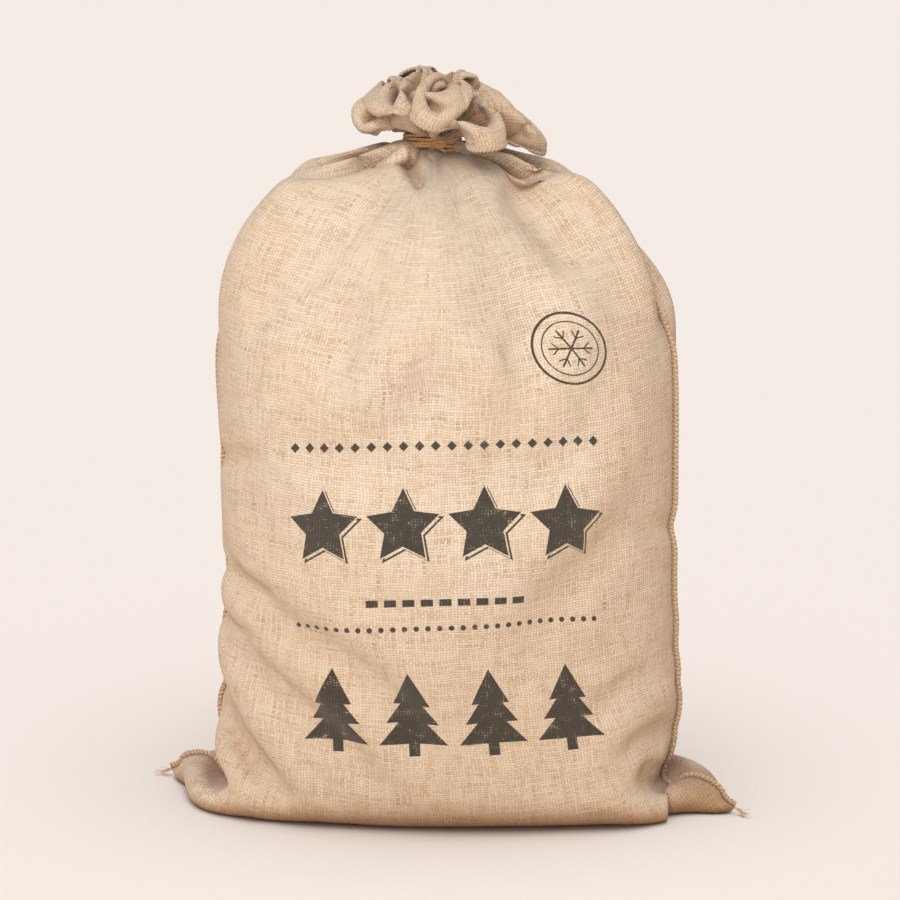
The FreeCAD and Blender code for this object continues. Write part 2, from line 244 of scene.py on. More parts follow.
def section_table():
    """The sections at every millimetre of height, with the corners between them rounded off."""
    heights, *sizes = zip(*SECTIONS)
    levels = np.arange(0, heights[-1] + MM, MM)
    rows = []
    for size in sizes:
        line = np.interp(levels, heights, size)
        reach = np.minimum(24, np.minimum(np.arange(len(levels)), np.arange(len(levels))[::-1]))
        total = running(line)
        for _ in range(2):
            spots = np.arange(len(levels))
            line = (total[spots + reach + 1] - total[spots - reach]) / (2 * reach + 1)
            total = running(line)
        rows.append(line)
    return levels, rows


LEVELS, LEVEL_SIZES = section_table()


def section(z):
    """Half width, half depth and squareness of the filling at a height."""
    return tuple(np.interp(z, LEVELS, size) for size in LEVEL_SIZES)


def lean(z):
    """How far the middle of the section has moved over with the neck."""
    return -0.017 * smooth(z, 0.43, 0.56)


def lumps(points):
    """Soft unevenness of the filling, as a share of its half width."""
    x, z = points[..., 0], points[..., 2]
    side = np.sign(points[..., 1])
    broad = np.sin(17 * x + 9 * z + 0.6) + np.sin(23 * z - 6 * x + 4 * side)
    return 0.012 * broad + 0.008 * np.sin(31 * x - 19 * z + 2 * side)


def filling(points):
    """Below 0 inside the filling, above 0 outside: 1 less than the point's share of the section."""
    x, y, z = points[..., 0], points[..., 1], points[..., 2]
    half_width, half_depth, power = section(z)
    a = np.abs((x - lean(z)) / half_width)
    b = np.abs(y / half_depth)
    over = np.maximum(0, z - SECTIONS[-1][0]) / 0.02
    sides = (a**power + b**power) ** (1 / power) - 1 + over - lumps(points)
    return np.maximum(sides, (2 * FLOOR_GAP - z) / 0.1)


def push_out(points):
    """Moves points that are inside the filling to its surface."""
    inside = filling(points)
    touched = inside < 0
    if not touched.any():
        return touched
    near = points[touched]
    step = 0.5 * MM
    steps = step * np.eye(3)
    slope = np.stack([(filling(near + move) - filling(near - move)) / (2 * step) for move in steps], axis=-1)
    move = -inside[touched][:, None] * slope / np.maximum(lengths(slope), 1.0) ** 2
    points[touched] = near + move * np.minimum(1, 6 * MM / np.maximum(lengths(move), 1e-9))
    return touched


def around():
    """For each column: its side (-1 front, 1 back) and its distance from the middle of its panel."""
    i = np.arange(COLUMNS)
    half = COLUMNS // 2
    front = i <= half
    across = np.where(front, i * SQUARE - PANEL_WIDTH / 2, 1.5 * PANEL_WIDTH - i * SQUARE)
    return np.where(front, -1.0, 1.0), across


def ring_share(z):
    """Where each column lies round the section.

    The seams move forwards at the shoulders, and turn at the waist.
    """
    share = np.arange(COLUMNS) / COLUMNS
    forwards = 0.035 * smooth(z, 0.38, 0.50)
    turned = 0.028 * smooth(z, 0.03, 0.12) * (1 - smooth(z, 0.40, 0.50))
    return share + forwards * np.cos(2 * math.pi * share) - turned


def wrapped(heights):
    """The filling's surface: for each height, where each column of cloth would lie, unpleated."""
    angle = np.linspace(-3 * math.pi, 3 * math.pi, 2161)
    rings = np.zeros((len(heights), COLUMNS, 3))
    for ring, z in zip(rings, heights):
        half_width, half_depth, power = (float(v) for v in section(z))
        x = half_width * np.sign(np.cos(angle)) * np.abs(np.cos(angle)) ** (2 / power)
        y = half_depth * np.sign(np.sin(angle)) * np.abs(np.sin(angle)) ** (2 / power)
        way = running(np.hypot(np.diff(x), np.diff(y)))
        start = way[len(way) // 3]
        place = start + ring_share(z) * way[-1] / 3
        ring[:, 0] = np.interp(place, way, x) + lean(z)
        ring[:, 1] = np.interp(place, way, y)
        ring[:, 2] = z
    return rings


def starting_shape():
    """The sack's cloth before it settles: under the filling, up its sides and over it to the neck."""
    _, across = around()
    heights = np.concatenate([np.linspace(0, 0.03, 16), np.linspace(0.036, SECTIONS[-1][0], 180)])
    surface = wrapped(heights)
    seam = np.stack([across, 0 * across, 0 * across], axis=1)
    under = np.linspace(0, 1, 12)[:-1, None, None]
    path = np.concatenate([seam + (surface[0] - seam) * under, surface])
    steps = np.linalg.norm(np.diff(path, axis=0), axis=2)
    way = running(steps)
    grid = np.zeros((ROWS + 1, COLUMNS, 3))
    rows = np.linspace(0, 1, ROWS + 1)
    for i in range(COLUMNS):
        share = way[:, i] / way[-1, i]
        for axis in range(3):
            grid[:, i, axis] = np.interp(rows, share, path[:, i, axis])
    grid[..., 2] += FLOOR_GAP
    return grid


def fold_outwards(grid, folds):
    """Raises folds round the neck, as tall as the spare width of cloth at each row asks for."""
    share = np.arange(COLUMNS) / COLUMNS
    wave = np.zeros(COLUMNS)
    for centre, width, weight in folds:
        gap = (share - centre + 0.5) % 1 - 0.5
        wave += weight * np.exp(-((gap / width) ** 2))
    wave = wave / wave.max()
    middle = grid.mean(axis=1, keepdims=True)
    for j in range(ROWS + 1):
        ring = grid[j]
        length = np.linalg.norm(np.roll(ring, -1, axis=0) - ring, axis=1).sum()
        spare = max(0.0, 1 - length / (2 * PANEL_WIDTH))
        out = ring - middle[j]
        out[:, 2] = 0
        out /= lengths(out) + 1e-9
        lift = smooth(j * SQUARE, 0.45, 0.62) * (1 - smooth(j * SQUARE, 0.66, 0.72))
        grid[j] += out * (0.006 * spare * wave)[:, None]
        grid[j, :, 2] += 0.03 * spare * wave * lift
    return grid


def tie_pleats():
    """The ring of cloth inside the tie: tight pleats, in the horizontal plane, one of them in front."""
    angle = -math.pi + 2 * math.pi * ring_share(NECK[2])
    turn = angle + math.radians(85)
    radius = NECK_RADIUS * (0.62 + 0.36 * np.cos(PLEATS * turn - 1.2 * np.sin(turn)))
    return np.stack([radius * np.cos(angle), radius * np.sin(angle)], axis=1)


EDGES = (  # rows up, columns along, stiffness, whether it only resists being shortened
    (0, 1, 1.0, False),
    (1, 0, 1.0, False),
    (1, 1, 0.35, False),
    (1, -1, 0.35, False),
    (0, 2, 0.25, True),
    (2, 0, 0.25, True),
    (0, 4, 0.3, True),
    (0, 6, 0.15, True),
    (4, 0, 0.2, True),
    (3, 3, 0.1, True),
    (3, -3, 0.1, True),
)


def pull_edges(grid, edges=EDGES):
    """One pass over all edges: the mean of the moves that would give each its flat length."""
    move = np.zeros_like(grid)
    weight = np.zeros(grid.shape[:2] + (1,))
    rows = grid.shape[0]
    for up, along, stiffness, only_short in edges:
        low = grid[: rows - up]
        high = np.roll(grid[up:], -along, axis=1)
        way = high - low
        length = lengths(way)
        rest = SQUARE * math.hypot(up, along)
        strain = (length - rest) / np.maximum(length, 1e-9)
        if only_short:
            strain = np.minimum(strain, 0)
        step = 0.5 * stiffness * strain * way
        move[: rows - up] += step
        move[up:] -= np.roll(step, along, axis=1)
        weight[: rows - up] += stiffness
        weight[up:] += stiffness
    return move / weight


def close_bottom(grid):
    """Joins the front and back panel along the bottom seam."""
    half = COLUMNS // 2
    middle = (grid[0, 1:half] + grid[0, :half:-1]) / 2
    grid[0, 1:half] = middle
    grid[0, :half:-1] = middle


def keep_order(grid, first_row):
    """Keeps the columns in order round the neck, so that folds there don't pass through each other."""
    ring = grid[first_row:]
    x = ring[..., 0] - NECK[0]
    y = ring[..., 1]
    angle = np.unwrap(np.arctan2(y, x), axis=1)
    gap = np.roll(angle, -1, axis=1) - angle
    gap[:, -1] += 2 * math.pi
    short = np.maximum(0, 0.004 - gap)
    shift = 0.5 * (np.roll(short, 1, axis=1) - short)
    c, s = np.cos(shift), np.sin(shift)
    ring[..., 0] = x * c - y * s + NECK[0]
    ring[..., 1] = x * s + y * c


def ceiling(grid):
    """How high the gathered cloth may stand: it slopes down from the neck to the shoulders."""
    far = np.hypot(grid[..., 0] - NECK[0], grid[..., 1])
    return CEILING - CEILING_SLOPE * np.maximum(0, far - NECK_RADIUS)


def settle(grid, steps, passes, gravity):
    """Lets the cloth settle on the filling and the floor, with its neck held in the tie."""
    pleats = tie_pleats()
    held_rows = 3
    stretch = 1.5
    drag = 0.85
    grip = 0.3  # what is left of the speed of cloth that lies on the filling
    speed = np.zeros_like(grid)
    for _ in range(steps):
        before = grid.copy()
        grid += drag * speed
        grid[..., 2] -= gravity
        for _ in range(passes):
            grid += stretch * pull_edges(grid)
            close_bottom(grid)
            touched = push_out(grid)
            grid[..., 2] = np.clip(grid[..., 2], FLOOR_GAP, ceiling(grid))
            for k in range(held_rows):
                row = ROWS - k
                grid[row, :, :2] = pleats * (1 + 0.12 * k) + NECK[:2]
                grid[row, :, 2] = NECK[2] + 0.004 - k * SQUARE * 0.55
        keep_order(grid, ROWS - 24)
        speed = grid - before
        speed[touched] *= grip
        speed = np.clip(speed, -2 * MM, 2 * MM)
    return grid


# Folds round the neck: place as a share of the way round from the left seam, width and height.
NECK_FOLDS = (
    (0.067, 0.034, 0.8),
    (0.264, 0.085, 1.6),
    (0.464, 0.034, 0.8),
    (0.605, 0.040, 0.9),
    (0.711, 0.040, 0.9),
    (0.810, 0.040, 0.9),
    (0.922, 0.036, 0.8),
)


def ease_front(grid):
    """Eases the folds in front of the neck into one broad one."""
    passes = 50
    middle = 0.262
    share = np.arange(COLUMNS) / COLUMNS
    near = 1 - smooth(np.abs(share - middle), 0.03, 0.26)
    up = np.arange(ROWS + 1) * SQUARE
    weight = near[None] * (smooth(up, 0.50, 0.60) * (1 - smooth(up, 0.66, 0.69)))[:, None]
    for _ in range(passes):
        mean = (np.roll(grid, 1, axis=1) + np.roll(grid, -1, axis=1)) / 2
        grid = grid + weight[..., None] * (mean - grid)
    return grid


def finer_rows(grid):
    """Twice as many rows, through a smooth curve."""
    ends = np.concatenate([2 * grid[:1] - grid[1:2], grid, 2 * grid[-1:] - grid[-2:-1]])
    middle = (9 * (ends[1:-2] + ends[2:-1]) - ends[:-3] - ends[3:]) / 16
    fine = np.empty((2 * grid.shape[0] - 1,) + grid.shape[1:])
    fine[::2] = grid
    fine[1::2] = middle
    return fine


def finer_ring(grid):
    """Twice as many columns round a closed ring, through a smooth curve."""

    def step(n):
        return np.roll(grid, -n, axis=1)

    fine = np.empty((grid.shape[0], 2 * grid.shape[1]) + grid.shape[2:])
    fine[:, ::2] = grid
    fine[:, 1::2] = (9 * (grid + step(1)) - step(-1) - step(2)) / 16
    return fine


def surface_normals(grid):
    """Unit normals of a closed ring of points, outwards."""
    along = np.roll(grid, -1, axis=1) - np.roll(grid, 1, axis=1)
    up = np.gradient(grid, axis=0)
    normal = np.cross(along, up)
    normal[0] = normal[1]
    return normal / (lengths(normal) + 1e-12)


class Cloth:
    """A ring of cloth with a place in the flat cut for every point, from which pieces are cut."""

    def __init__(self, grid, square, first_row=0.0):
        self.grid = grid
        self.rows, self.columns = grid.shape[:2]
        self.normal = surface_normals(grid)
        i = np.arange(self.columns + 1)
        self.half = self.columns // 2
        self.front_across = (i - self.half / 2) * square
        self.back_across = BACK_MIDDLE + (1.5 * self.half - i) * square
        self.up = first_row + np.arange(self.rows) * square

    def piece(self, name, chosen, material):
        """A mesh of the chosen squares, as two faces of cloth with an edge all round."""
        is_front = chosen[:, : self.half].any()
        across = self.front_across if is_front else self.back_across
        index = {}
        points, flats, normals, faces = [], [], [], []

        def corner(j, i, side):
            key = (j, i, side)
            if key not in index:
                index[key] = len(points)
                k = i % self.columns
                n = self.normal[j, k]
                points.append(self.grid[j, k] + n * (side * CLOTH_THICKNESS / 2))
                normals.append(n * side)
                flats.append((across[i], self.up[j], side))
            return index[key]

        for j, i in np.argwhere(chosen).tolist():
            square = ((j, i), (j, i + 1), (j + 1, i + 1), (j + 1, i))
            faces.append([corner(*spot, 1) for spot in square])
            faces.append([corner(*spot, -1) for spot in square[::-1]])
        faces += self.rim(chosen, corner)
        return add_mesh(name, points, faces, material, flats, normals)

    def rim(self, chosen, corner):
        """The faces that join the two sides of the cloth along the edge of the chosen squares."""
        faces = []
        padded = np.pad(chosen, 1)
        for j, i in np.argwhere(chosen).tolist():
            for dj, di, a, b in (
                (-1, 0, (j, i + 1), (j, i)),
                (1, 0, (j + 1, i), (j + 1, i + 1)),
                (0, -1, (j, i), (j + 1, i)),
                (0, 1, (j + 1, i + 1), (j, i + 1)),
            ):
                if not padded[j + 1 + dj, i + 1 + di]:
                    faces.append([corner(*a, 1), corner(*b, 1), corner(*b, -1), corner(*a, -1)])
        return faces


def add_object(name, data, material=None):
    """An object of a mesh, light or camera, in the scene."""
    obj = bpy.data.objects.new(name, data)
    if material:
        data.materials.append(material)
    bpy.context.scene.collection.objects.link(obj)
    return obj


def add_mesh(name, points, faces, material, flats=None, normals=None):
    """A smooth mesh in the scene. Its attribute "flat" holds where each point lies in the flat piece."""
    mesh = bpy.data.meshes.new(name)
    mesh.from_pydata([tuple(p) for p in points], [], faces)
    if flats is not None:
        flat = mesh.attributes.new("flat", "FLOAT_VECTOR", "POINT")
        flat.data.foreach_set("vector", np.array(flats, np.float32).ravel())
    mesh.shade_smooth()
    if normals is not None:
        mesh.normals_split_custom_set_from_vertices([tuple(n) for n in normals])
    return add_object(name, mesh, material)


def ring_faces(rows, columns, first=0):
    """The faces of a closed body made of rings of points, with its two ends."""
    faces = []
    for j in range(rows - 1):
        low = first + j * columns
        high = low + columns
        for i in range(columns):
            k = (i + 1) % columns
            faces.append((low + i, low + k, high + k, high + i))
    last = first + (rows - 1) * columns
    faces.append(tuple(range(first, first + columns))[::-1])
    faces.append(tuple(range(last, last + columns)))
    return faces


def tubes(name, paths, radii, material, sides=6):
    """One object of closed round threads along paths. "flat" holds the way along each thread."""
    points, faces, flats = [], [], []
    for path, radius in zip(paths, radii):
        path = np.asarray(path, float)
        along = np.gradient(path, axis=0)
        along /= lengths(along) + 1e-12
        side = np.cross(along[0], (0.31, 0.17, 0.93))
        faces += ring_faces(len(path), sides, len(points))
        distance = 0.0
        for k, (p, t) in enumerate(zip(path, along)):
            side = side - t * (side @ t)
            side /= np.linalg.norm(side) + 1e-12
            up = np.cross(t, side)
            r = radius[k] if np.ndim(radius) else radius
            distance += np.linalg.norm(p - path[k - 1]) if k else 0
            for n in range(sides):
                a = 2 * math.pi * n / sides
                points.append(p + (side * math.cos(a) + up * math.sin(a)) * r)
                flats.append((distance, n / sides, 0.0))
    return add_mesh(name, points, faces, material, flats)


def ridge_frames(points, outward):
    """Outward and sideways directions of a ridge at each point of its path."""
    along = np.gradient(points, axis=0)
    along /= lengths(along)
    out = outward - along * (outward * along).sum(axis=1, keepdims=True)
    out /= lengths(out)
    return out, np.cross(along, out)


def evenly(points, *others, spacing):
    """A path, and what goes with it, sampled again at even steps."""
    gaps = np.linalg.norm(np.diff(points, axis=0), axis=1)
    way = running(gaps)
    count = max(4, round(way[-1] / spacing))
    spots = np.linspace(0, way[-1], count + 1)
    result = [
        np.stack([np.interp(spots, way, values[:, k]) for k in range(3)], axis=1)
        for values in (points, *others)
    ]
    return result, spots


def serged_edge(name, points, outward, size, material):
    """A flat oval strip along a path, from base to base + width away from it."""
    width, thick, base = size
    (points, outward), spots = evenly(points, outward, spacing=2 * MM)
    out, side = ridge_frames(points, outward)
    sides = 12
    turn = 2 * math.pi * np.arange(sides) / sides
    ripple = 1 + 0.07 * np.sin(2 * math.pi * spots / (SERGE_WAVE * MM))
    middle = points + out * (base + width / 2)
    across = (width / 2) * np.cos(turn)[None, :, None] * out[:, None]
    deep = (thick / 2) * np.sin(turn)[None, :, None] * side[:, None] * ripple[:, None, None]
    rings = middle[:, None] + across + deep
    flats = np.zeros(rings.shape, np.float32)
    flats[..., 0] = (width / 2) * np.cos(turn)[None]
    flats[..., 1] = spots[:, None]
    faces = ring_faces(len(points), sides)
    return add_mesh(name, rings.reshape(-1, 3), faces, material, flats)


def overlock(name, points, outward, size, pitch, radius, material):
    """The thread that wraps a serged edge, with a chain of loops on each face of it."""
    width, thick, base = size
    steps = 10
    (points, outward), _ = evenly(points, outward, spacing=pitch / steps)
    out, side = ridge_frames(points, outward)
    turn = 2 * math.pi * np.arange(len(points)) / steps
    middle = points + out * (base + width / 2)
    reach = (width / 2 + radius * 0.8) * np.cos(turn)[:, None] * out
    round_it = (thick / 2 + radius * 0.8) * np.sin(turn)[:, None] * side
    paths = [middle + reach + round_it]
    for face in (-1, 1):
        wave = 0.9 * MM * np.sin(turn)[:, None] * out
        lift = (thick / 2 + radius * 0.6) * face * side
        paths.append(points + out * (base + width * 0.24) + lift * 0.92 + wave)
    return tubes(name, paths, [radius] * 3, material, sides=5)


def frayed_tail(name, start, way, length, strands, seed, material):
    """A bundle of loose thread ends that leaves a point, fans out and droops."""
    rng = np.random.default_rng(seed)
    way = np.asarray(way, float) / np.linalg.norm(way)
    paths, radii = [], []
    for _ in range(strands):
        spread = rng.normal(0, 0.16, 3)
        curl = rng.normal(0, 0.35, 3)
        reach = length * rng.uniform(0.55, 1.0)
        share = np.linspace(0, 1, 9)[:, None]
        path = start + way * reach * share + reach * (spread * share + curl * share**3 * 0.5)
        path += rng.normal(0, 0.4 * MM, 3) * (1 - share)
        path[:, 2] = np.maximum(path[:, 2], 0.7 * MM)
        paths.append(path)
        radii.append(rng.uniform(0.22, 0.42) * MM * np.linspace(1, 0.5, 9))
    return tubes(name, paths, radii, material, sides=5)


# The lobes of the bunched mouth over the tie: angle in degrees from +X (the front is -90), reach and
# height of the two points that steer the curve from the tie, reach and height of the rim, and half width
# in degrees.
CROWN_LOBES = (
    (-178, 0.030, 0.594, 0.090, 0.618, 0.044, 0.588, 17),
    (-136, 0.022, 0.606, 0.072, 0.650, 0.022, 0.622, 15),
    (-88, 0.012, 0.626, 0.026, 0.698, 0.052, 0.612, 16),
    (-48, 0.024, 0.602, 0.084, 0.636, 0.082, 0.588, 17),
    (-8, 0.030, 0.604, 0.112, 0.632, 0.102, 0.545, 19),
    (40, 0.022, 0.606, 0.078, 0.668, 0.034, 0.624, 16),
    (84, 0.018, 0.606, 0.064, 0.668, 0.022, 0.628, 15),
    (130, 0.020, 0.606, 0.070, 0.642, 0.026, 0.618, 16),
)
CROWN_EDGES = EDGES[:6] + ((0, 3, 0.12, True), (0, 5, 0.06, True), (3, 0, 0.2, True))
CROWN_FOOT = 0.5865
CROWN_TOP = 0.645
CROWN_ROUND = 7  # how much lower the mouth may stand away from its middle, per metre squared
CROWN_ROWS = round((PANEL_LENGTH - TIE_ROW) / SQUARE)
CROWN_MIDDLE = np.array([-0.012, 0.0])
# Room between the mouth and the shoulders, and how much more of it there is per metre from the neck.
SWAY_ROOM = 2.5 * MM
SWAY_ROOM_LEFT = -0.18
SWAY_ROOM_RIGHT = 0.06
SWAY_ROOM_DEEP = 0.14


def bezier(a, b, c, d, share):
    """A cubic curve from a to d, at shares 0 to 1."""
    back = 1 - share
    return a * back**3 + 3 * b * share * back**2 + 3 * c * share**2 * back + d * share**3


def crown_start():
    """The bunched mouth before it settles: lobes and valleys that fan out over the tie."""
    angle = -math.pi + 2 * math.pi * ring_share(CROWN_FOOT)
    share = np.linspace(0, 1, CROWN_ROWS + 1)[:, None]
    low = np.linalg.norm(tie_pleats(), axis=1)[None]
    reach = bezier(low, 0.012, 0.012, 0.018, share)
    height = bezier(CROWN_FOOT, 0.605, 0.625, 0.636, share)
    for degrees, near, low_steer, far, high_steer, rim, rim_height, half in CROWN_LOBES:
        gap = (np.degrees(angle) - degrees + 180) % 360 - 180
        weight = np.exp(-((gap / half) ** 4))[None]
        lobe_reach = bezier(low, near, far, rim, share)
        lobe_height = bezier(CROWN_FOOT, low_steer, high_steer, rim_height, share)
        reach = reach + weight * (lobe_reach - reach)
        height = height + weight * (lobe_height - height)
    grid = np.zeros((CROWN_ROWS + 1, COLUMNS, 3))
    shift = smooth(share, 0, 0.6) * (CROWN_MIDDLE - NECK[:2])[None]
    grid[..., 0] = NECK[0] + reach * np.cos(angle) + shift[:, :1]
    grid[..., 1] = reach * np.sin(angle) + shift[:, 1:]
    grid[..., 2] = height
    return grid


class Ground:
    """The height of the sack's shoulders under each spot, which the mouth lies on."""

    STEP = 4 * MM
    SIZE = 160

    def __init__(self, grid):
        self.height = np.zeros((self.SIZE, self.SIZE))
        points = grid.reshape(-1, 3)
        i, j = self.cell(points)
        np.maximum.at(self.height, (i, j), points[:, 2])
        for _ in range(2):
            for axis in (0, 1):
                for way in (-1, 1):
                    self.height = np.maximum(self.height, np.roll(self.height, way, axis) - 0.5 * MM)

    def cell(self, points):
        """The cell of the height map that each point is over."""
        spots = (points[..., :2] / self.STEP + self.SIZE / 2).astype(int)
        spots = np.clip(spots, 0, self.SIZE - 1)
        return spots[..., 0], spots[..., 1]

    def under(self, points):
        """How high the shoulders stand under each point."""
        return self.height[self.cell(points)]


def sway_room(points):
    """How far the mouth keeps from the shoulders: room to sway to the left and, less, to the right."""
    along = points[..., 0] - NECK[0]
    sway = np.where(along < 0, SWAY_ROOM_LEFT, SWAY_ROOM_RIGHT) * along
    return SWAY_ROOM + sway + SWAY_ROOM_DEEP * np.abs(points[..., 1])


def settle_crown(grid, ground, steps, passes):
    """Lets the bunched mouth find its folds, above the shoulders of the sack."""
    foot = grid[:2].copy()
    speed = np.zeros_like(grid)
    for _ in range(steps):
        before = grid.copy()
        grid += 0.8 * speed
        for _ in range(passes):
            grid += 1.4 * pull_edges(grid, CROWN_EDGES)
            grid[:2] = foot
            free = grid[2:]
            free[..., 2] = np.maximum(free[..., 2], ground.under(free) + sway_room(free))
            far = np.hypot(grid[..., 0] - CROWN_MIDDLE[0], grid[..., 1] - CROWN_MIDDLE[1])
            grid[..., 2] = np.minimum(grid[..., 2], CROWN_TOP - CROWN_ROUND * far**2)
        speed = np.clip(grid - before, -1.5 * MM, 1.5 * MM)
    return grid


def twine_core():
    """The middle line of the twine, wound round the neck on a rising line."""
    turns = 4.15
    share = np.linspace(0, 1, 420)
    angle = math.radians(-60) + 2 * math.pi * turns * share
    wander = 0.5 * MM * np.sin(3 * angle + 1) + 0.4 * MM * np.sin(1.7 * angle)
    radius = NECK_RADIUS + 2.6 * MM + 0.4 * wander
    x = NECK[0] + radius * np.cos(angle)
    y = NECK[1] + radius * np.sin(angle)
    z = 0.5768 + 3.1 * MM * (turns * share) * 0.95 + wander
    return np.stack([x, y, z], axis=1)


PLIES = 3
PLY_RADIUS = 0.75 * MM
PLY_LAY = 8 * MM  # the length of one twist


def plied(core):
    """The strands of a twisted twine round its core line."""
    along = np.gradient(core, axis=0)
    gaps = np.linalg.norm(along, axis=1)
    along /= gaps[:, None]
    side = np.cross(along, (0.02, 0.03, 1.0))
    side /= lengths(side)
    other = np.cross(side, along)
    way = np.cumsum(gaps)
    paths = []
    for k in range(PLIES):
        turn = 2 * math.pi * (way / PLY_LAY + k / PLIES)
        swing = PLY_RADIUS * (np.cos(turn)[:, None] * side + np.sin(turn)[:, None] * other)
        paths.append(core + swing)
    return paths


def knot_core():
    """The overhand knot of the twine, with its two cut ends."""
    centre = NECK + np.array([0.006, -(NECK_RADIUS + 4.6 * MM), 0.003])
    turn = 2 * math.pi * np.linspace(0, 1, 90) * 1.5 + 0.4
    reach = 3.6 * MM
    x = centre[0] + (reach + 1.2 * MM * np.cos(2 * turn)) * np.cos(turn)
    y = centre[1] + 1.3 * MM * np.sin(2 * turn)
    z = centre[2] + (reach * 0.8) * np.sin(turn)
    knot = np.stack([x, y, z], axis=1)
    left = knot[0] + np.outer(np.linspace(1, 0, 24) ** 1.2, (-0.011, -0.001, -0.0035))[:-1]
    right = knot[-1] + np.outer(np.linspace(0, 1, 24) ** 1.2, (0.010, -0.002, -0.0055))[1:]
    return np.concatenate([left, knot, right])


class Value:
    """A number in a node material. Arithmetic with it adds the nodes that work it out."""

    def __init__(self, nodes, socket):
        self.nodes = nodes
        self.socket = socket

    def __add__(self, other):
        return self.nodes.math("ADD", self, other)

    def __sub__(self, other):
        return self.nodes.math("SUBTRACT", self, other)

    def __rsub__(self, other):
        return self.nodes.math("SUBTRACT", other, self)

    def __mul__(self, other):
        return self.nodes.math("MULTIPLY", self, other)

    def __truediv__(self, other):
        return self.nodes.math("DIVIDE", self, other)

    def __abs__(self):
        return self.nodes.math("ABSOLUTE", self)


class Nodes:
    """A node material in the making, with short names for the nodes that it is built from."""

    def __init__(self, name):
        self.material = bpy.data.materials.new(name)
        self.material.use_nodes = True
        self.tree = self.material.node_tree
        self.shader = next(n for n in self.tree.nodes if n.type == "BSDF_PRINCIPLED")

    def add(self, kind, **settings):
        """A node with settings of its own."""
        node = self.tree.nodes.new(kind)
        for name, value in settings.items():
            setattr(node, name, value)
        return node

    def put(self, value, socket):
        """Links a value or a socket, or sets a plain number or colour."""
        if isinstance(value, Value):
            value = value.socket
        if isinstance(value, bpy.types.NodeSocket):
            self.tree.links.new(value, socket)
        elif value is not None:
            socket.default_value = value

    def feed(self, node, *values):
        """Puts values into the node's first sockets."""
        for value, socket in zip(values, node.inputs):
            self.put(value, socket)
        return node

    def math(self, operation, *values):
        """The result of a math node."""
        node = self.feed(self.add("ShaderNodeMath", operation=operation), *values)
        return Value(self, node.outputs[0])

    def ramp(self, value, low, high, start=0.0, end=1.0):
        """A smooth step from start to end while value goes from low to high."""
        node = self.add("ShaderNodeMapRange", interpolation_type="SMOOTHSTEP")
        return Value(self, self.feed(node, value, low, high, start, end).outputs[0])

    def mix(self, share, a, b, blend="MIX"):
        """Two colours mixed."""
        node = self.add("ShaderNodeMix", data_type="RGBA", blend_type=blend)
        for value, place in ((share, 0), (a, 6), (b, 7)):
            self.put(value, node.inputs[place])
        return node.outputs[2]

    def vector(self, x, y, z=0.0):
        """A vector of three numbers."""
        return self.feed(self.add("ShaderNodeCombineXYZ"), x, y, z).outputs[0]

    def noise(self, vector, scale, detail=2.0, roughness=0.5):
        """Cloudy noise from 0 to 1."""
        node = self.add("ShaderNodeTexNoise")
        inputs = {"Vector": vector, "Scale": scale, "Detail": detail, "Roughness": roughness}
        for name, value in inputs.items():
            self.put(value, node.inputs[name])
        return Value(self, node.outputs["Fac"])

    def flat(self):
        """The place in the flat cut, across and up, in millimetres."""
        place = self.add("ShaderNodeAttribute", attribute_name="flat").outputs["Vector"]
        split = self.feed(self.add("ShaderNodeSeparateXYZ"), place)
        return tuple(Value(self, socket) * 1000.0 for socket in split.outputs[:2])

    def bump(self, height, distance, strength=1.0):
        """A normal tilted by a height, which is at most distance metres."""
        node = self.add("ShaderNodeBump")
        for name, value in (("Strength", strength), ("Distance", distance), ("Height", height)):
            self.put(value, node.inputs[name])
        return node.outputs["Normal"]

    def finish(self, colour, roughness, normal=None, sheen=0.0, specular=0.25):
        """The material, once its shader has what it needs."""
        inputs = {
            "Base Color": colour,
            "Roughness": roughness,
            "Normal": normal,
            "Sheen Weight": sheen,
            "Sheen Roughness": 0.6,
            "Specular IOR Level": specular,
        }
        for name, value in inputs.items():
            self.put(value, self.shader.inputs[name])
        return self.material


def rgb(red, green, blue):
    """A linear colour from display values 0 to 255."""

    def linear(value):
        value /= 255
        return value / 12.92 if value <= 0.04045 else ((value + 0.055) / 1.055) ** 2.4

    return (linear(red), linear(green), linear(blue), 1.0)


WARP_PITCH = 2.6  # mm from one upright thread to the next
WEFT_PITCH = 2.2  # mm from one level thread to the next
THREAD_WANDER = 2.4  # how far threads stray from their straight line, in threads
THREAD_RISE = 0.28  # how much a thread rises where it crosses over another
JUTE_LIGHT = rgb(217, 197, 177)
JUTE_MIDDLE = rgb(190, 162, 133)
JUTE_DARK = rgb(150, 115, 83)
JUTE_GAP = rgb(126, 88, 56)
TAN_TINT = rgb(206, 170, 128)
FLECK = rgb(104, 68, 42)
# Painted shade for the bottom corners of the panels, where the ears lie in shadow.
CORNER_SHADE = (0.68, 0.56, 0.44, 1.0)
# Painted shade for the creases, where the cloth folds close to itself.
CREASE_SHADE = (0.60, 0.43, 0.29, 1.0)
INK = rgb(30, 27, 20)


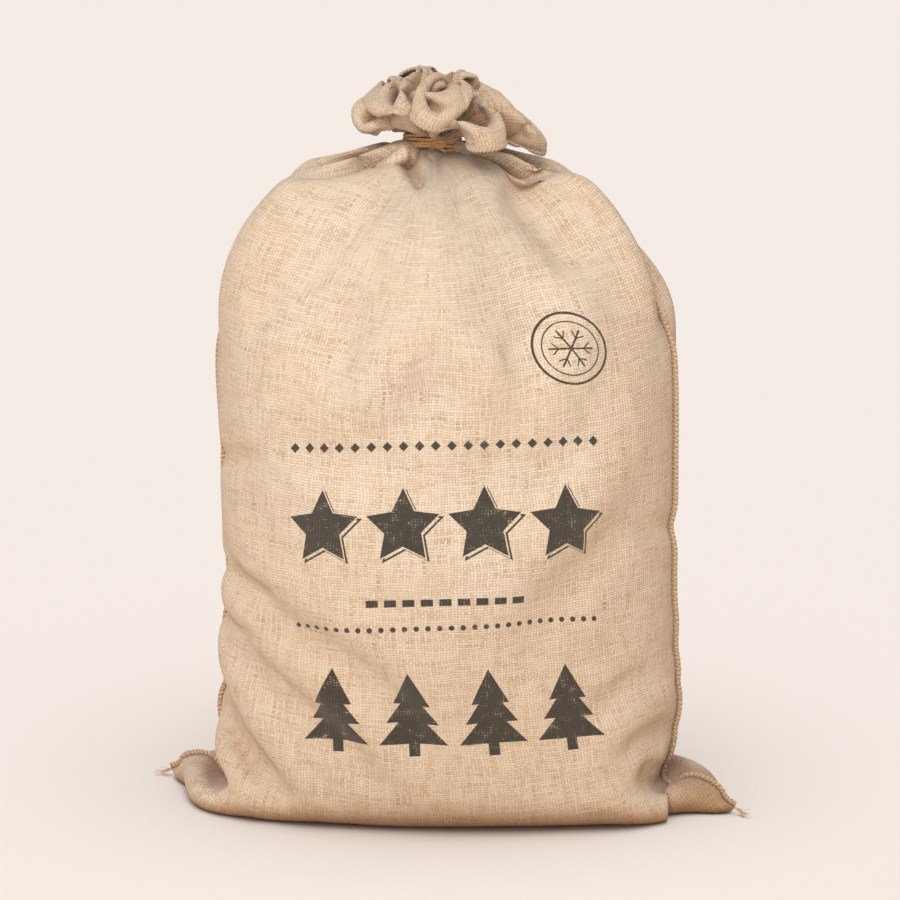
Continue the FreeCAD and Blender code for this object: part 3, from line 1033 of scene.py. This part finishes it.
def yarns(n, x, y):
    """Plain weave: its height, each thread's own tone, and how deep in a gap a point is."""
    u = x / WARP_PITCH + n.noise(n.vector(x * 0.02, y * 0.05), 1.0, 3.0) * THREAD_WANDER
    v = y / WEFT_PITCH + n.noise(n.vector(x * 0.05, y * 0.02, 7.0), 1.0, 3.0) * THREAD_WANDER
    sin_u = n.math("SINE", u * math.pi)
    sin_v = n.math("SINE", v * math.pi)
    round_u = n.math("POWER", abs(sin_u), 0.6)
    round_v = n.math("POWER", abs(sin_v), 0.6)
    slub_u = n.noise(n.vector(n.math("FLOOR", u) * 5.3, y * 0.035, 1.0), 1.0, 3.0, 0.6)
    slub_v = n.noise(n.vector(x * 0.035, n.math("FLOOR", v) * 5.3, 2.0), 1.0, 3.0, 0.6)
    warp = round_u * slub_u + n.math("SIGN", sin_u) * sin_v * THREAD_RISE
    weft = round_v * slub_v - n.math("SIGN", sin_v) * sin_u * THREAD_RISE
    height = n.math("MAXIMUM", warp, weft)
    over = n.math("GREATER_THAN", warp, weft)
    tone = over * slub_u + (1.0 - over) * slub_v
    return height, tone, n.ramp(height, 0.16, 0.42, 1.0, 0.0)


def any_of(n, *masks):
    """The largest of several masks."""
    result = masks[0]
    for mask in masks[1:]:
        result = n.math("MAXIMUM", result, mask)
    return result


def distance(n, x, y):
    """How far a point is from the origin."""
    return n.math("SQRT", x * x + y * y)


def band(n, value, low, high, soft=0.4):
    """1 between low and high, with a soft edge."""
    up = n.ramp(value, low - soft, low + soft)
    return up * n.ramp(value, high - soft, high + soft, 1.0, 0.0)


def repeated(n, value, start, pitch):
    """The distance from the middle of the cell of a row of cells, from start on."""
    return (n.math("FRACT", (value - start) / pitch) - 0.5) * pitch


def star(n, x, y, reach):
    """Above 0 inside a five-pointed star with one point up."""
    sector = 2 * math.pi / 5
    turn = n.math("ARCTAN2", x, y) / sector + 0.5
    local = abs((n.math("FRACT", turn) - 0.5) * sector)
    radius = distance(n, x, y)
    px = radius * n.math("COSINE", local)
    py = radius * n.math("SINE", local)
    # The edge of half a point runs from its tip to the notch beside it.
    notch = (reach * 0.5 * math.cos(sector / 2), reach * 0.5 * math.sin(sector / 2))
    edge = (notch[0] - reach, notch[1])
    size = math.hypot(*edge)
    normal = (edge[1] / size, -edge[0] / size)
    return px * -normal[0] + py * -normal[1] + normal[0] * reach


def tree(n, x, y, height, width):
    """1 inside a fir tree of three tiers on a short trunk, its foot at y 0."""
    side = abs(x)
    masks = [band(n, side, -1, width * 0.08) * band(n, y, 0, height * 0.2)]
    for low, high, share in ((0.14, 0.56, 1.0), (0.38, 0.78, 0.78), (0.6, 1.0, 0.56)):
        reach = (high * height - y) * (share * width / 2 / ((high - low) * height))
        inside = n.ramp(reach - side, -0.4, 0.4)
        masks.append(inside * band(n, y, low * height, high * height))
    return any_of(n, *masks)


# The print on the front, in millimetres: across from the middle of the panel, up from its bottom seam.
PRINT_LEFT = -135.0
PRINT_WIDTH = 268.0
STAR_LINE = 366.0
STAR_REACH = 31.5
TREE_LINE = 167.0
TREE_HEIGHT = 76.0
TREE_WIDTH = 58.0
DIAMOND_LINE = 431.0
DASH_LINE = 303.0
DOT_LINE = 281.0
ROUNDEL = (112.0, 503.0)
ROUNDEL_SQUASH = (0.97, 1.14)  # makes the rings look round on the bulging cloth
DASHES = (-68.0, 67.0)
PRINT_BOW = 0.0007  # how much the printed lines bow downwards at their ends, per millimetre
PRINT_SHIFT = 21.0  # how far the print is set off to the right of the panel's middle


def four_cells(n, x):
    """The place across in each of the four cells of the print, and 1 inside them all."""
    row = band(n, x, PRINT_LEFT, PRINT_LEFT + PRINT_WIDTH)
    return repeated(n, x, PRINT_LEFT, PRINT_WIDTH / 4), row


def star_row(n, x, y):
    """Four bold stars, each with a thin outline set off to the lower right."""
    across, row = four_cells(n, x)
    up = y - STAR_LINE
    solid = n.ramp(star(n, across, up, STAR_REACH), -0.3, 0.3)
    line = band(n, star(n, across - 2.6, up + 2.4, STAR_REACH + 1.0), -0.2, 1.5, 0.3)
    gap = n.ramp(star(n, across, up, STAR_REACH + 2.4), -0.3, 0.3, 1.0, 0.0)
    return row * any_of(n, solid, line * gap)


def tree_row(n, x, y):
    """Four fir trees."""
    across, row = four_cells(n, x)
    return row * tree(n, across, y - TREE_LINE, TREE_HEIGHT, TREE_WIDTH)


def small_rows(n, x, y):
    """Rows of small diamonds, short dashes and round dots."""
    row = band(n, x, PRINT_LEFT, PRINT_LEFT + PRINT_WIDTH)
    across = abs(repeated(n, x, PRINT_LEFT, PRINT_WIDTH / 20))
    diamonds = n.ramp(across + abs(y - DIAMOND_LINE), 3.6, 4.8, 1.0, 0.0)
    dashes = band(n, repeated(n, x, DASHES[0], 15.0), -5.0, 5.0) * band(n, y, DASH_LINE - 3, DASH_LINE + 3)
    far = distance(n, repeated(n, x, PRINT_LEFT, PRINT_WIDTH / 28), y - DOT_LINE)
    dots = n.ramp(far, 1.9, 2.7, 1.0, 0.0)
    return any_of(n, row * diamonds, dashes * band(n, x, *DASHES), row * dots)


def roundel(n, x, y):
    """A double ring round a plain six-armed snowflake."""
    across = (x - ROUNDEL[0]) * ROUNDEL_SQUASH[0]
    up = (y - ROUNDEL[1]) * ROUNDEL_SQUASH[1]
    far = distance(n, across, up)
    rings = any_of(n, band(n, far, 29.4, 31.6, 0.3), band(n, far, 22.4, 23.6, 0.3))
    local = repeated(n, n.math("ARCTAN2", across, up), 0.0, math.pi / 3)
    sideways = abs(far * n.math("SINE", local))
    along = far * n.math("COSINE", local)
    arms = band(n, sideways, -1, 0.8, 0.3) * band(n, along, 0, 18.0)
    barbs = band(n, along - sideways, 9.0, 10.6, 0.3) * band(n, sideways, -1, 5.0, 0.3)
    return any_of(n, rings, arms, barbs)


def printed(n, x, y, height):
    """How much ink lies on a point: the motifs, thin where the weave is low and worn off in patches."""
    x = x - PRINT_SHIFT
    y = y + x * x * PRINT_BOW
    marks = any_of(n, star_row(n, x, y), tree_row(n, x, y), small_rows(n, x, y), roundel(n, x, y))
    place = n.vector(x, y)
    wear = n.noise(place, 0.11, 4.0, 0.65) * 0.65 + n.noise(place, 0.9, 2.0, 0.6) * 0.35
    return marks * n.ramp(height * 0.32 + (0.76 - wear), 0.15, 0.38)


def painted_corner_shade(n, x, y, colour):
    """Painted shade: darkens the cloth towards the two bottom corners of a panel, where the ears lie in shadow, the
    right one more.
    """
    edge = -1000 * PANEL_WIDTH / 2
    for side, strength in ((1, 1.0), (-1, 0.35)):
        share = n.ramp(y - x * side, edge + 40, edge + 125, strength, 0.0)
        colour = n.mix(share, colour, CORNER_SHADE, "MULTIPLY")
    return colour


def painted_crease_shade(n, colour):
    """Painted shade: deepens the colour where the cloth folds close to itself."""
    node = n.add("ShaderNodeAmbientOcclusion", samples=6)
    n.put(0.045, node.inputs["Distance"])
    share = n.ramp(node.outputs["AO"], 0.30, 0.95, 0.9, 0.0)
    return n.mix(share, colour, CREASE_SHADE, "MULTIPLY")


def jute(name, ink=False, middle=0.0):
    """Natural jute cloth: plain weave of slubby yarns with flecks, and the print if asked for.

    The middle of the panel lies at middle, in millimetres across the flat cut.
    """
    n = Nodes(name)
    x, y = n.flat()
    height, tone, gap = yarns(n, x, y)
    place = n.vector(x, y)
    fibre = n.noise(place, 1.9, 3.0, 0.7)
    tone = tone * 0.75 + fibre * 0.25
    colour = n.mix(n.ramp(tone, 0.31, 0.60), JUTE_MIDDLE, JUTE_LIGHT)
    colour = n.mix(n.ramp(tone, 0.26, 0.40, 0.55, 0.0), colour, JUTE_DARK)
    colour = n.mix(gap * 0.92, colour, JUTE_GAP)
    colour = n.mix(n.ramp(n.noise(place, 0.012, 3.0), 0.35, 0.7, 0.0, 0.16), colour, TAN_TINT)
    flecks = n.noise(n.vector(x * 0.35, y * 0.8, 4.0), 1.0, 1.0)
    colour = n.mix(n.ramp(flecks, 0.715, 0.76, 0.0, 0.8), colour, FLECK)
    if ink:
        colour = n.mix(printed(n, x, y, height) * 0.95, colour, INK)
    # Painted shade in the creases and towards the bottom corners.
    colour = painted_crease_shade(n, painted_corner_shade(n, x - middle, y, colour))
    normal = n.bump(height + fibre * 0.25, 0.9 * MM)
    rough = n.ramp(gap, 0.0, 1.0, 0.82, 0.95)
    return n.finish(colour, rough, normal, sheen=0.25)


def thread(name, light, dark):
    """Spun thread or cord: slanting fibres of two tones."""
    n = Nodes(name)
    x, y = n.flat()
    fibre = n.noise(n.vector(x * 0.6 + y * 0.002, y * 0.004), 1.0, 3.0, 0.6)
    coordinates = n.add("ShaderNodeTexCoord").outputs["Object"]
    fine = n.noise(coordinates, 1600.0, 3.0, 0.7)
    colour = n.mix(n.ramp(fibre * 0.5 + fine * 0.5, 0.35, 0.65), dark, light)
    return n.finish(colour, 0.85, n.bump(fine, 0.3 * MM, 0.8), sheen=0.2)


def serged(name):
    """The serged edge: raw jute under slanting bands of pale thread."""
    n = Nodes(name)
    x, y = n.flat()
    wave = n.math("SINE", (y + x * 0.5) * (2 * math.pi / SERGE_WAVE)) * 0.5 + 0.5
    fine = n.noise(n.vector(x, y), 2.4, 3.0, 0.7)
    colour = n.mix(n.ramp(wave, 0.1, 0.9), rgb(178, 146, 112), rgb(206, 178, 146))
    colour = n.mix(n.ramp(fine, 0.3, 0.6, 0.35, 0.0), colour, JUTE_DARK)
    return n.finish(colour, 0.9, n.bump(wave + fine * 0.6, 0.35 * MM), sheen=0.2)


def paper(name):
    """Crumpled packing paper."""
    n = Nodes(name)
    coordinates = n.add("ShaderNodeTexCoord").outputs["Object"]
    creases = n.noise(coordinates, 28.0, 6.0, 0.7)
    fine = n.noise(coordinates, 700.0, 2.0)
    colour = n.mix(creases, rgb(196, 168, 134), rgb(226, 205, 176))
    return n.finish(colour, 0.8, n.bump(creases + fine * 0.02, 4 * MM))


def plain_floor():
    """A plain pale floor, which throws less light back at the sack than it seems to."""
    n = Nodes("floor")
    coordinates = n.add("ShaderNodeTexCoord").outputs["Object"]
    colour = n.mix(n.noise(coordinates, 3.0) * 0.02, FLOOR_COLOUR, FLOOR_SHADE)
    seen = n.add("ShaderNodeLightPath").outputs["Is Camera Ray"]
    return n.finish(n.mix(seen, FLOOR_BOUNCE, colour), 1.0, specular=0.0)


FLOOR_COLOUR = (0.771, 0.731, 0.710, 1.0)
FLOOR_SHADE = (0.7, 0.66, 0.64, 1.0)
FLOOR_BOUNCE = (0.72, 0.54, 0.36, 1.0)  # the colour that the sack gets light from: darker and warmer
FLOOR_HALF = 60
SKY_COLOUR = (1.0, 0.915, 0.82, 1)
SKY_STRENGTH = 0.475
SKY_SEEN = (0.913, 0.839, 0.784, 1)  # what the camera sees past the floor
# The suns: azimuth from the front to the right, elevation, strength, spread and colour. Degrees.
KEY = (-14, 42, 1.95, 26, (1.0, 0.96, 0.90))
BACKDROP = (0, 80, 2.27, 60, (1.0, 1.0, 1.0))
SOFTBOX_POWER = 0.9
SOFTBOX_SIZE = 0.35
SOFTBOX_SPREAD = 60
SOFTBOX_COLOUR = (0.66, 0.86, 1.0)
SOFTBOX_PLACE = (-0.10, -1.15, 0.66)
SOFTBOX_TURN = (78, 0, -5)
CAMERA_ELEVATION = 12.5
CAMERA_DISTANCE = 2.2
CAMERA_TARGET = (0.001, 0.0, 0.315)
VIEW_WIDTH = 0.78


def add_sun(name, azimuth, elevation, strength, spread, colour):
    """A broad distant light. Azimuth is from the front, to the right; angles are in degrees."""
    lamp = bpy.data.lights.new(name, "SUN")
    lamp.energy = strength
    lamp.angle = math.radians(spread)
    lamp.color = colour
    obj = add_object(name, lamp)
    obj.rotation_euler = (math.radians(90 - elevation), 0, math.radians(azimuth))
    return obj


def add_softbox():
    """The lamp in front of the sack."""
    lamp = bpy.data.lights.new("softbox", "AREA")
    lamp.energy = SOFTBOX_POWER
    lamp.size = SOFTBOX_SIZE
    lamp.spread = math.radians(SOFTBOX_SPREAD)
    lamp.color = SOFTBOX_COLOUR
    obj = add_object("softbox", lamp)
    obj.location = SOFTBOX_PLACE
    obj.rotation_euler = [math.radians(angle) for angle in SOFTBOX_TURN]
    return obj


def add_camera():
    """The camera, which looks down at the sack a little from the front."""
    camera = bpy.data.cameras.new("camera")
    camera.lens = camera.sensor_width * CAMERA_DISTANCE / VIEW_WIDTH
    obj = add_object("camera", camera)
    e = math.radians(CAMERA_ELEVATION)
    x, y, z = CAMERA_TARGET
    obj.location = (x, y - CAMERA_DISTANCE * math.cos(e), z + CAMERA_DISTANCE * math.sin(e))
    obj.rotation_euler = (math.radians(90 - CAMERA_ELEVATION), 0, 0)
    bpy.context.scene.camera = obj


def light_from(tree):
    """Even light from all round. Where the camera looks past the floor, it sees the floor's colour."""
    sky = tree.nodes["Background"]
    sky.inputs["Color"].default_value = SKY_COLOUR
    sky.inputs["Strength"].default_value = SKY_STRENGTH
    beyond = tree.nodes.new("ShaderNodeBackground")
    beyond.inputs["Color"].default_value = SKY_SEEN
    seen = tree.nodes.new("ShaderNodeLightPath")
    mix = tree.nodes.new("ShaderNodeMixShader")
    tree.links.new(seen.outputs["Is Camera Ray"], mix.inputs[0])
    tree.links.new(sky.outputs[0], mix.inputs[1])
    tree.links.new(beyond.outputs[0], mix.inputs[2])
    tree.links.new(mix.outputs[0], tree.nodes["World Output"].inputs["Surface"])


def only_on(light, name, objects):
    """Lets a light shine on the given objects only."""
    lit = bpy.data.collections.new(name)
    for obj in objects:
        lit.objects.link(obj)
    light.light_linking.receiver_collection = lit


def make_stage():
    """The floor, the lights and the camera."""
    corners = [(x * FLOOR_HALF, y * FLOOR_HALF, 0) for x, y in ((-1, -1), (1, -1), (1, 1), (-1, 1))]
    floor = add_mesh("floor", corners, [(0, 1, 2, 3)], plain_floor())
    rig.stage(floor)

    scene = bpy.context.scene
    world = bpy.data.worlds.new("studio")
    scene.world = world
    world.use_nodes = True
    light_from(world.node_tree)
    only_on(add_sun("key", *KEY), "lit_by_key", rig.pieces())
    only_on(add_sun("backdrop", *BACKDROP), "lit_by_backdrop", [floor])
    only_on(add_softbox(), "lit_by_softbox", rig.pieces())
    add_camera()
    scene.view_settings.view_transform = "Standard"


def wadding(material):
    """The stuffing: crumpled paper that fills the cloth, as one closed body."""
    room = 8 * MM
    rings = wrapped(np.linspace(6 * MM, SECTIONS[-1][0] - room, 60))
    middle = rings.mean(axis=1, keepdims=True)
    way = rings - middle
    reach = lengths(way)
    rings = middle + way * (1 - room / np.maximum(reach, 12 * MM))
    x, y, z = rings[..., 0], rings[..., 1], rings[..., 2]
    crumple = np.sin(61 * x + 23 * z) * np.sin(47 * z + 31 * y) + np.sin(90 * z - 70 * x) * 0.5
    rings += way * (0.012 * (crumple - 1.2))[..., None]
    # The dents are a quarter deeper than the cloth's, which keeps the paper clear of it.
    rings += surface_normals(rings) * (1.25 * dents(rings) - 0.004 * smooth(z, 0.40, 0.50))[..., None]
    return add_mesh("wadding", rings.reshape(-1, 3), ring_faces(*rings.shape[:2]), material)


EAR_CUT = 0.125  # how far along each seam the corner pieces of cloth reach
EAR_SWEEP = ((-1, -24.0), (1, -30.0))  # side, and degrees that an ear is turned about the sack's side
EAR_HINGE = 0.186


def sweep_ears(grid):
    """Turns the ears about the sack's sides: the left one backwards, the right one forwards."""
    for side, degrees in EAR_SWEEP:
        hinge = EAR_HINGE * side
        beyond = side * (grid[..., 0] - hinge)
        low = 1 - smooth(grid[..., 2], 0.045, 0.10)
        turn = math.radians(degrees) * smooth(beyond, 0.0, 0.035) * low
        x = grid[..., 0] - hinge
        y = grid[..., 1]
        grid[..., 0] = hinge + x * np.cos(turn) - y * np.sin(turn)
        grid[..., 1] = x * np.sin(turn) + y * np.cos(turn)
    return grid


# Dents in the front: points (x, z) of the line, half width and depth, in metres.
DENTS = (
    (((0.058, 0.546), (0.080, 0.524), (0.096, 0.502)), 0.017, 0.015),
    (((-0.050, 0.552), (-0.088, 0.512), (-0.112, 0.478)), 0.014, 0.008),
    (((0.000, 0.556), (0.040, 0.548)), 0.017, -0.005),
    (((-0.036, 0.574), (-0.026, 0.558)), 0.006, 0.013),
    (((-0.200, 0.312), (-0.165, 0.322)), 0.010, 0.005),
    (((-0.200, 0.216), (-0.160, 0.205)), 0.011, 0.006),
    (((-0.200, 0.170), (-0.172, 0.166)), 0.008, 0.004),
    (((0.200, 0.250), (0.168, 0.262)), 0.012, 0.004),
    (((-0.150, 0.450), (-0.060, 0.436), (0.020, 0.452)), 0.020, 0.003),
    (((-0.120, 0.330), (0.020, 0.318), (0.130, 0.335)), 0.020, 0.0025),
)


# Cloth that would lie deeper than the first is kept within the second of it.
DEEP_FROM = 0.110
DEEP_ROOM = 0.022


def line_distance(x, z, line):
    """The distance of points from a line of short runs, in the XZ plane."""
    near = np.full(x.shape, 1.0)
    for (ax, az), (bx, bz) in zip(line, line[1:]):
        run_x, run_z = bx - ax, bz - az
        share = np.clip(((x - ax) * run_x + (z - az) * run_z) / (run_x**2 + run_z**2), 0, 1)
        near = np.minimum(near, np.hypot(x - ax - share * run_x, z - az - share * run_z))
    return near


def dents(grid):
    """How far the dents move each point of a grid, outwards."""
    front = 1 - smooth(grid[..., 1], 0.0, 0.03)
    move = np.zeros(grid.shape[:2])
    for line, half, depth in DENTS:
        near = line_distance(grid[..., 0], grid[..., 2], line)
        move -= front * depth * np.exp(-((near / half) ** 2))
    return move


def sculpt(grid):
    """Presses the dents in, draws the seams in at the shoulders and puffs the back out behind them."""
    side, _ = around()
    move = dents(grid)
    i = np.arange(COLUMNS)
    high = smooth(grid[..., 2], 0.40, 0.47) * (1 - smooth(grid[..., 2], 0.545, 0.57))
    for seam in (0, COLUMNS // 2):
        far = np.abs((i - seam + COLUMNS // 2) % COLUMNS - COLUMNS // 2) * SQUARE
        fold = -0.011 * np.exp(-((far / 0.011) ** 2))
        lip = 0.005 * np.exp(-(((far - 0.026) / 0.013) ** 2))
        puff = np.where(side > 0, 0.006, 0.0) * np.exp(-(((far - 0.055) / 0.032) ** 2))
        move += high * (fold + lip + puff)[None]
    grid = grid + surface_normals(grid) * move[..., None]
    deep = np.abs(grid[..., 1])
    flatter = DEEP_FROM + DEEP_ROOM * np.tanh((deep - DEEP_FROM) / DEEP_ROOM)
    grid[..., 1] = np.sign(grid[..., 1]) * np.where(deep > DEEP_FROM, flatter, deep)
    return grid


def body_cloth():
    """The sack's cloth, from the bottom seam to the tie."""
    grid = fold_outwards(starting_shape(), NECK_FOLDS)
    grid = settle(grid, steps=60, passes=12, gravity=0.00002)
    grid = sweep_ears(sculpt(ease_front(grid)))
    return Cloth(finer_ring(finer_rows(grid)), SQUARE / 2)


def ear_masks(cloth):
    """The squares that belong to each ear, and the squares of the front panel."""
    rows, columns = cloth.rows - 1, cloth.columns
    j = np.arange(rows)[:, None] + 0.5
    i = np.arange(columns)[None] + 0.5
    half = columns // 2
    masks = {}
    for word, seam in (("left", 0), ("right", half)):
        far = np.abs((i - seam + half) % columns - half)
        masks[word] = (far + j) * (SQUARE / 2) < EAR_CUT
    front = np.broadcast_to(i < half, (rows, columns))
    return masks, front


def seam_path(cloth, column, rows):
    """The lowest rows of a seam's column, with its outward direction."""
    points = cloth.grid[:rows, column].copy()
    normals = cloth.normal[:rows, column].copy()
    for _ in range(6):
        normals[1:-1] = (normals[:-2] + normals[1:-1] * 2 + normals[2:]) / 4
    return points, normals


def make_body(materials):
    """The panels, the ears' plies, and the seams round them."""
    cloth = body_cloth()
    masks, front = ear_masks(cloth)
    ears = masks["left"] | masks["right"]
    low, high = NECK + (0, 0, -0.024), NECK + (0, 0, -0.004)
    for name, mask, material in (
        ("front_cloth", front & ~ears, materials["print"]),
        ("back_cloth", ~front & ~ears, materials["jute"]),
    ):
        obj = cloth.piece(name, mask, material)
        word = name.split("_")[0]
        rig.blend(obj, "sack", "neck", start=low, end=high)
        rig.replaces(obj, word + "_panel", "neck_gather_" + word)
        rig.slot(obj, "jute_cloth")
        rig.sheet(obj, flat=(PANEL_WIDTH, TIE_ROW), held="gathered", rests_on=["wadding"])
    for side, word in ((-1, "left"), (1, "right")):
        # The ear bends beyond the line where its cloth is cut from the panel's.
        start, end = (side * 0.216, 0, 0.03), (side * 0.247, side * -0.0113, 0.03)
        for ply, mask, material in (("front", front, "print"), ("back", ~front, "jute")):
            obj = cloth.piece(f"{word}_ear_{ply}_cloth", masks[word] & mask, materials[material])
            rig.blend(obj, "sack", word + "_ear", start=start, end=end)
            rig.replaces(obj, f"{word}_ear_{ply}_ply")
            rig.slot(obj, "jute_cloth")
            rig.sheet(obj, flat=(EAR_CUT, EAR_CUT), held="gathered", area=EAR_CUT**2 / 2, rests_on=["wadding"])
        column = 0 if side < 0 else cloth.columns // 2
        make_seam(cloth, word, column, materials, (start, end), (low, high))
        make_tail(cloth, word, column, 11 + side, materials["fray"])
    return cloth


# Serged edges: width, thickness, and how far outside the cloth's edge they start. Then the stitches'
# pitch and the thread's radius.
SEAM_SERGE = (5.2 * MM, 1.9 * MM, 0.2 * MM)
SEAM_STITCH = (4.6 * MM, 0.2 * MM)
HEM_SERGE = (5 * MM, 2.2 * MM, -3.5 * MM)
HEM_STITCH = (3.4 * MM, 0.24 * MM)
SERGE_WAVE = 3.4  # mm from one band of wrapping thread to the next


def make_seam(cloth, word, column, materials, ear_bend, neck_bend):
    """The serged seam of one side: over the ear, and from the ear to the neck."""
    split = round(EAR_CUT / (SQUARE / 2))
    top = cloth.rows - 8
    points, normals = seam_path(cloth, column, top)
    for part, first, last, body, bend in (
        ("ear", 0, split + 1, word + "_ear", ear_bend),
        ("side", split, top, "neck", neck_bend),
    ):
        name = f"{word}_{part}_serging"
        path = (points[first:last], normals[first:last])
        bodies = ("sack", body)
        strip = serged_edge(name, *path, SEAM_SERGE, materials["serged"])
        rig.blend(strip, *bodies, start=bend[0], end=bend[1])
        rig.replaces(strip, f"{word}_{part}_seam")
        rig.slot(strip, "serged_edge")
        stitch = overlock(name + "_thread", *path, SEAM_SERGE, *SEAM_STITCH, materials["seam_thread"])
        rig.blend(stitch, *bodies, start=bend[0], end=bend[1])
        if part == "side":
            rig.replaces(stitch, word + "_seam_thread")
        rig.slot(stitch, "seam_thread")


def make_tail(cloth, word, column, seed, material):
    """The loose thread ends at the tip of an ear."""
    tip = cloth.grid[0, column]
    way = (tip - cloth.grid[4, column]) + np.array([0, 0, 0.001])
    tail = frayed_tail(word + "_ear_tail", tip, way, length=16 * MM, strands=16, seed=seed, material=material)
    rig.ride(tail, word + "_ear")
    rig.replaces(tail, word + "_ear_thread_tail")
    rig.slot(tail, "seam_thread")


def make_crown(cloth, materials):
    """The mouth over the tie, with its hem."""
    grid = settle_crown(crown_start(), Ground(cloth.grid), steps=40, passes=8)
    crown = Cloth(finer_ring(finer_ring(finer_rows(finer_rows(grid)))), SQUARE / 4, first_row=TIE_ROW)
    rows, columns = crown.rows - 1, crown.columns
    front = np.broadcast_to(np.arange(columns)[None] < columns // 2, (rows, columns))
    pieces = []
    for word, mask in (("front", front), ("back", ~front)):
        obj = crown.piece(f"mouth_{word}_cloth", mask, materials["jute"])
        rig.ride(obj, "crown")
        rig.replaces(obj, f"mouth_ruffle_{word}")
        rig.slot(obj, "jute_cloth")
        pieces.append(obj)
    closed = np.append(np.arange(columns), 0)
    points = crown.grid[-1, closed]
    away = points - crown.grid[-4, closed]
    hem = serged_edge("mouth_serging", points, away, HEM_SERGE, materials["serged"])
    stitch = overlock("mouth_serging_thread", points, away, HEM_SERGE, *HEM_STITCH, materials["hem_thread"])
    for obj, node, slot in ((hem, "mouth_hem", "serged_edge"), (stitch, "mouth_hem_thread", "seam_thread")):
        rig.ride(obj, "crown")
        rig.replaces(obj, node)
        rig.slot(obj, slot)
    for obj in pieces:
        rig.sheet(obj, flat=(PANEL_WIDTH, PANEL_LENGTH - TIE_ROW), held="gathered", rests_on=["front_cloth"])


def make_twine(materials):
    """The tie: a plied twine wound round the neck and its knot."""
    paths = plied(twine_core()) + plied(knot_core())
    obj = tubes("neck_tie", paths, [0.78 * MM] * len(paths), materials["twine"])
    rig.ride(obj, "neck")
    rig.replaces(obj, "neck_twine")
    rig.slot(obj, "twine")


def main():
    """Makes every visible piece, and the stage."""
    materials = {
        "jute": jute("jute", middle=2000.0),
        "print": jute("printed_jute", ink=True),
        "serged": serged("serged_edge"),
        "seam_thread": thread("seam_thread", rgb(150, 116, 92), rgb(78, 54, 54)),
        "hem_thread": thread("hem_thread", rgb(228, 208, 184), rgb(160, 148, 142)),
        "fray": thread("loose_thread", rgb(226, 198, 164), rgb(170, 134, 98)),
        "twine": thread("twine", rgb(222, 164, 104), rgb(150, 92, 48)),
        "paper": paper("packing_paper"),
    }
    stuffing = wadding(materials["paper"])
    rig.ride(stuffing, "sack")
    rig.replaces(stuffing, "padding_lower", "padding_middle", "padding_upper")
    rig.slot(stuffing, "wadding")
    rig.padded(stuffing, fill=0.7)
    cloth = make_body(materials)
    make_crown(cloth, materials)
    make_twine(materials)
    finish_cad_nodes(materials)
    make_stage()


def finish_cad_nodes(materials):
    """The bottom seam is the one CAD node that stays."""
    node = frame["nodes"]["bottom_seam"]
    for slot in node.material_slots:
        slot.material = materials["serged"]


main()

with open("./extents.json", "w") as file:
    boxes = {"cad": cad_box, "visual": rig.bounds()}
    json.dump({name: [list(corner) for corner in box] for name, box in boxes.items()}, file)
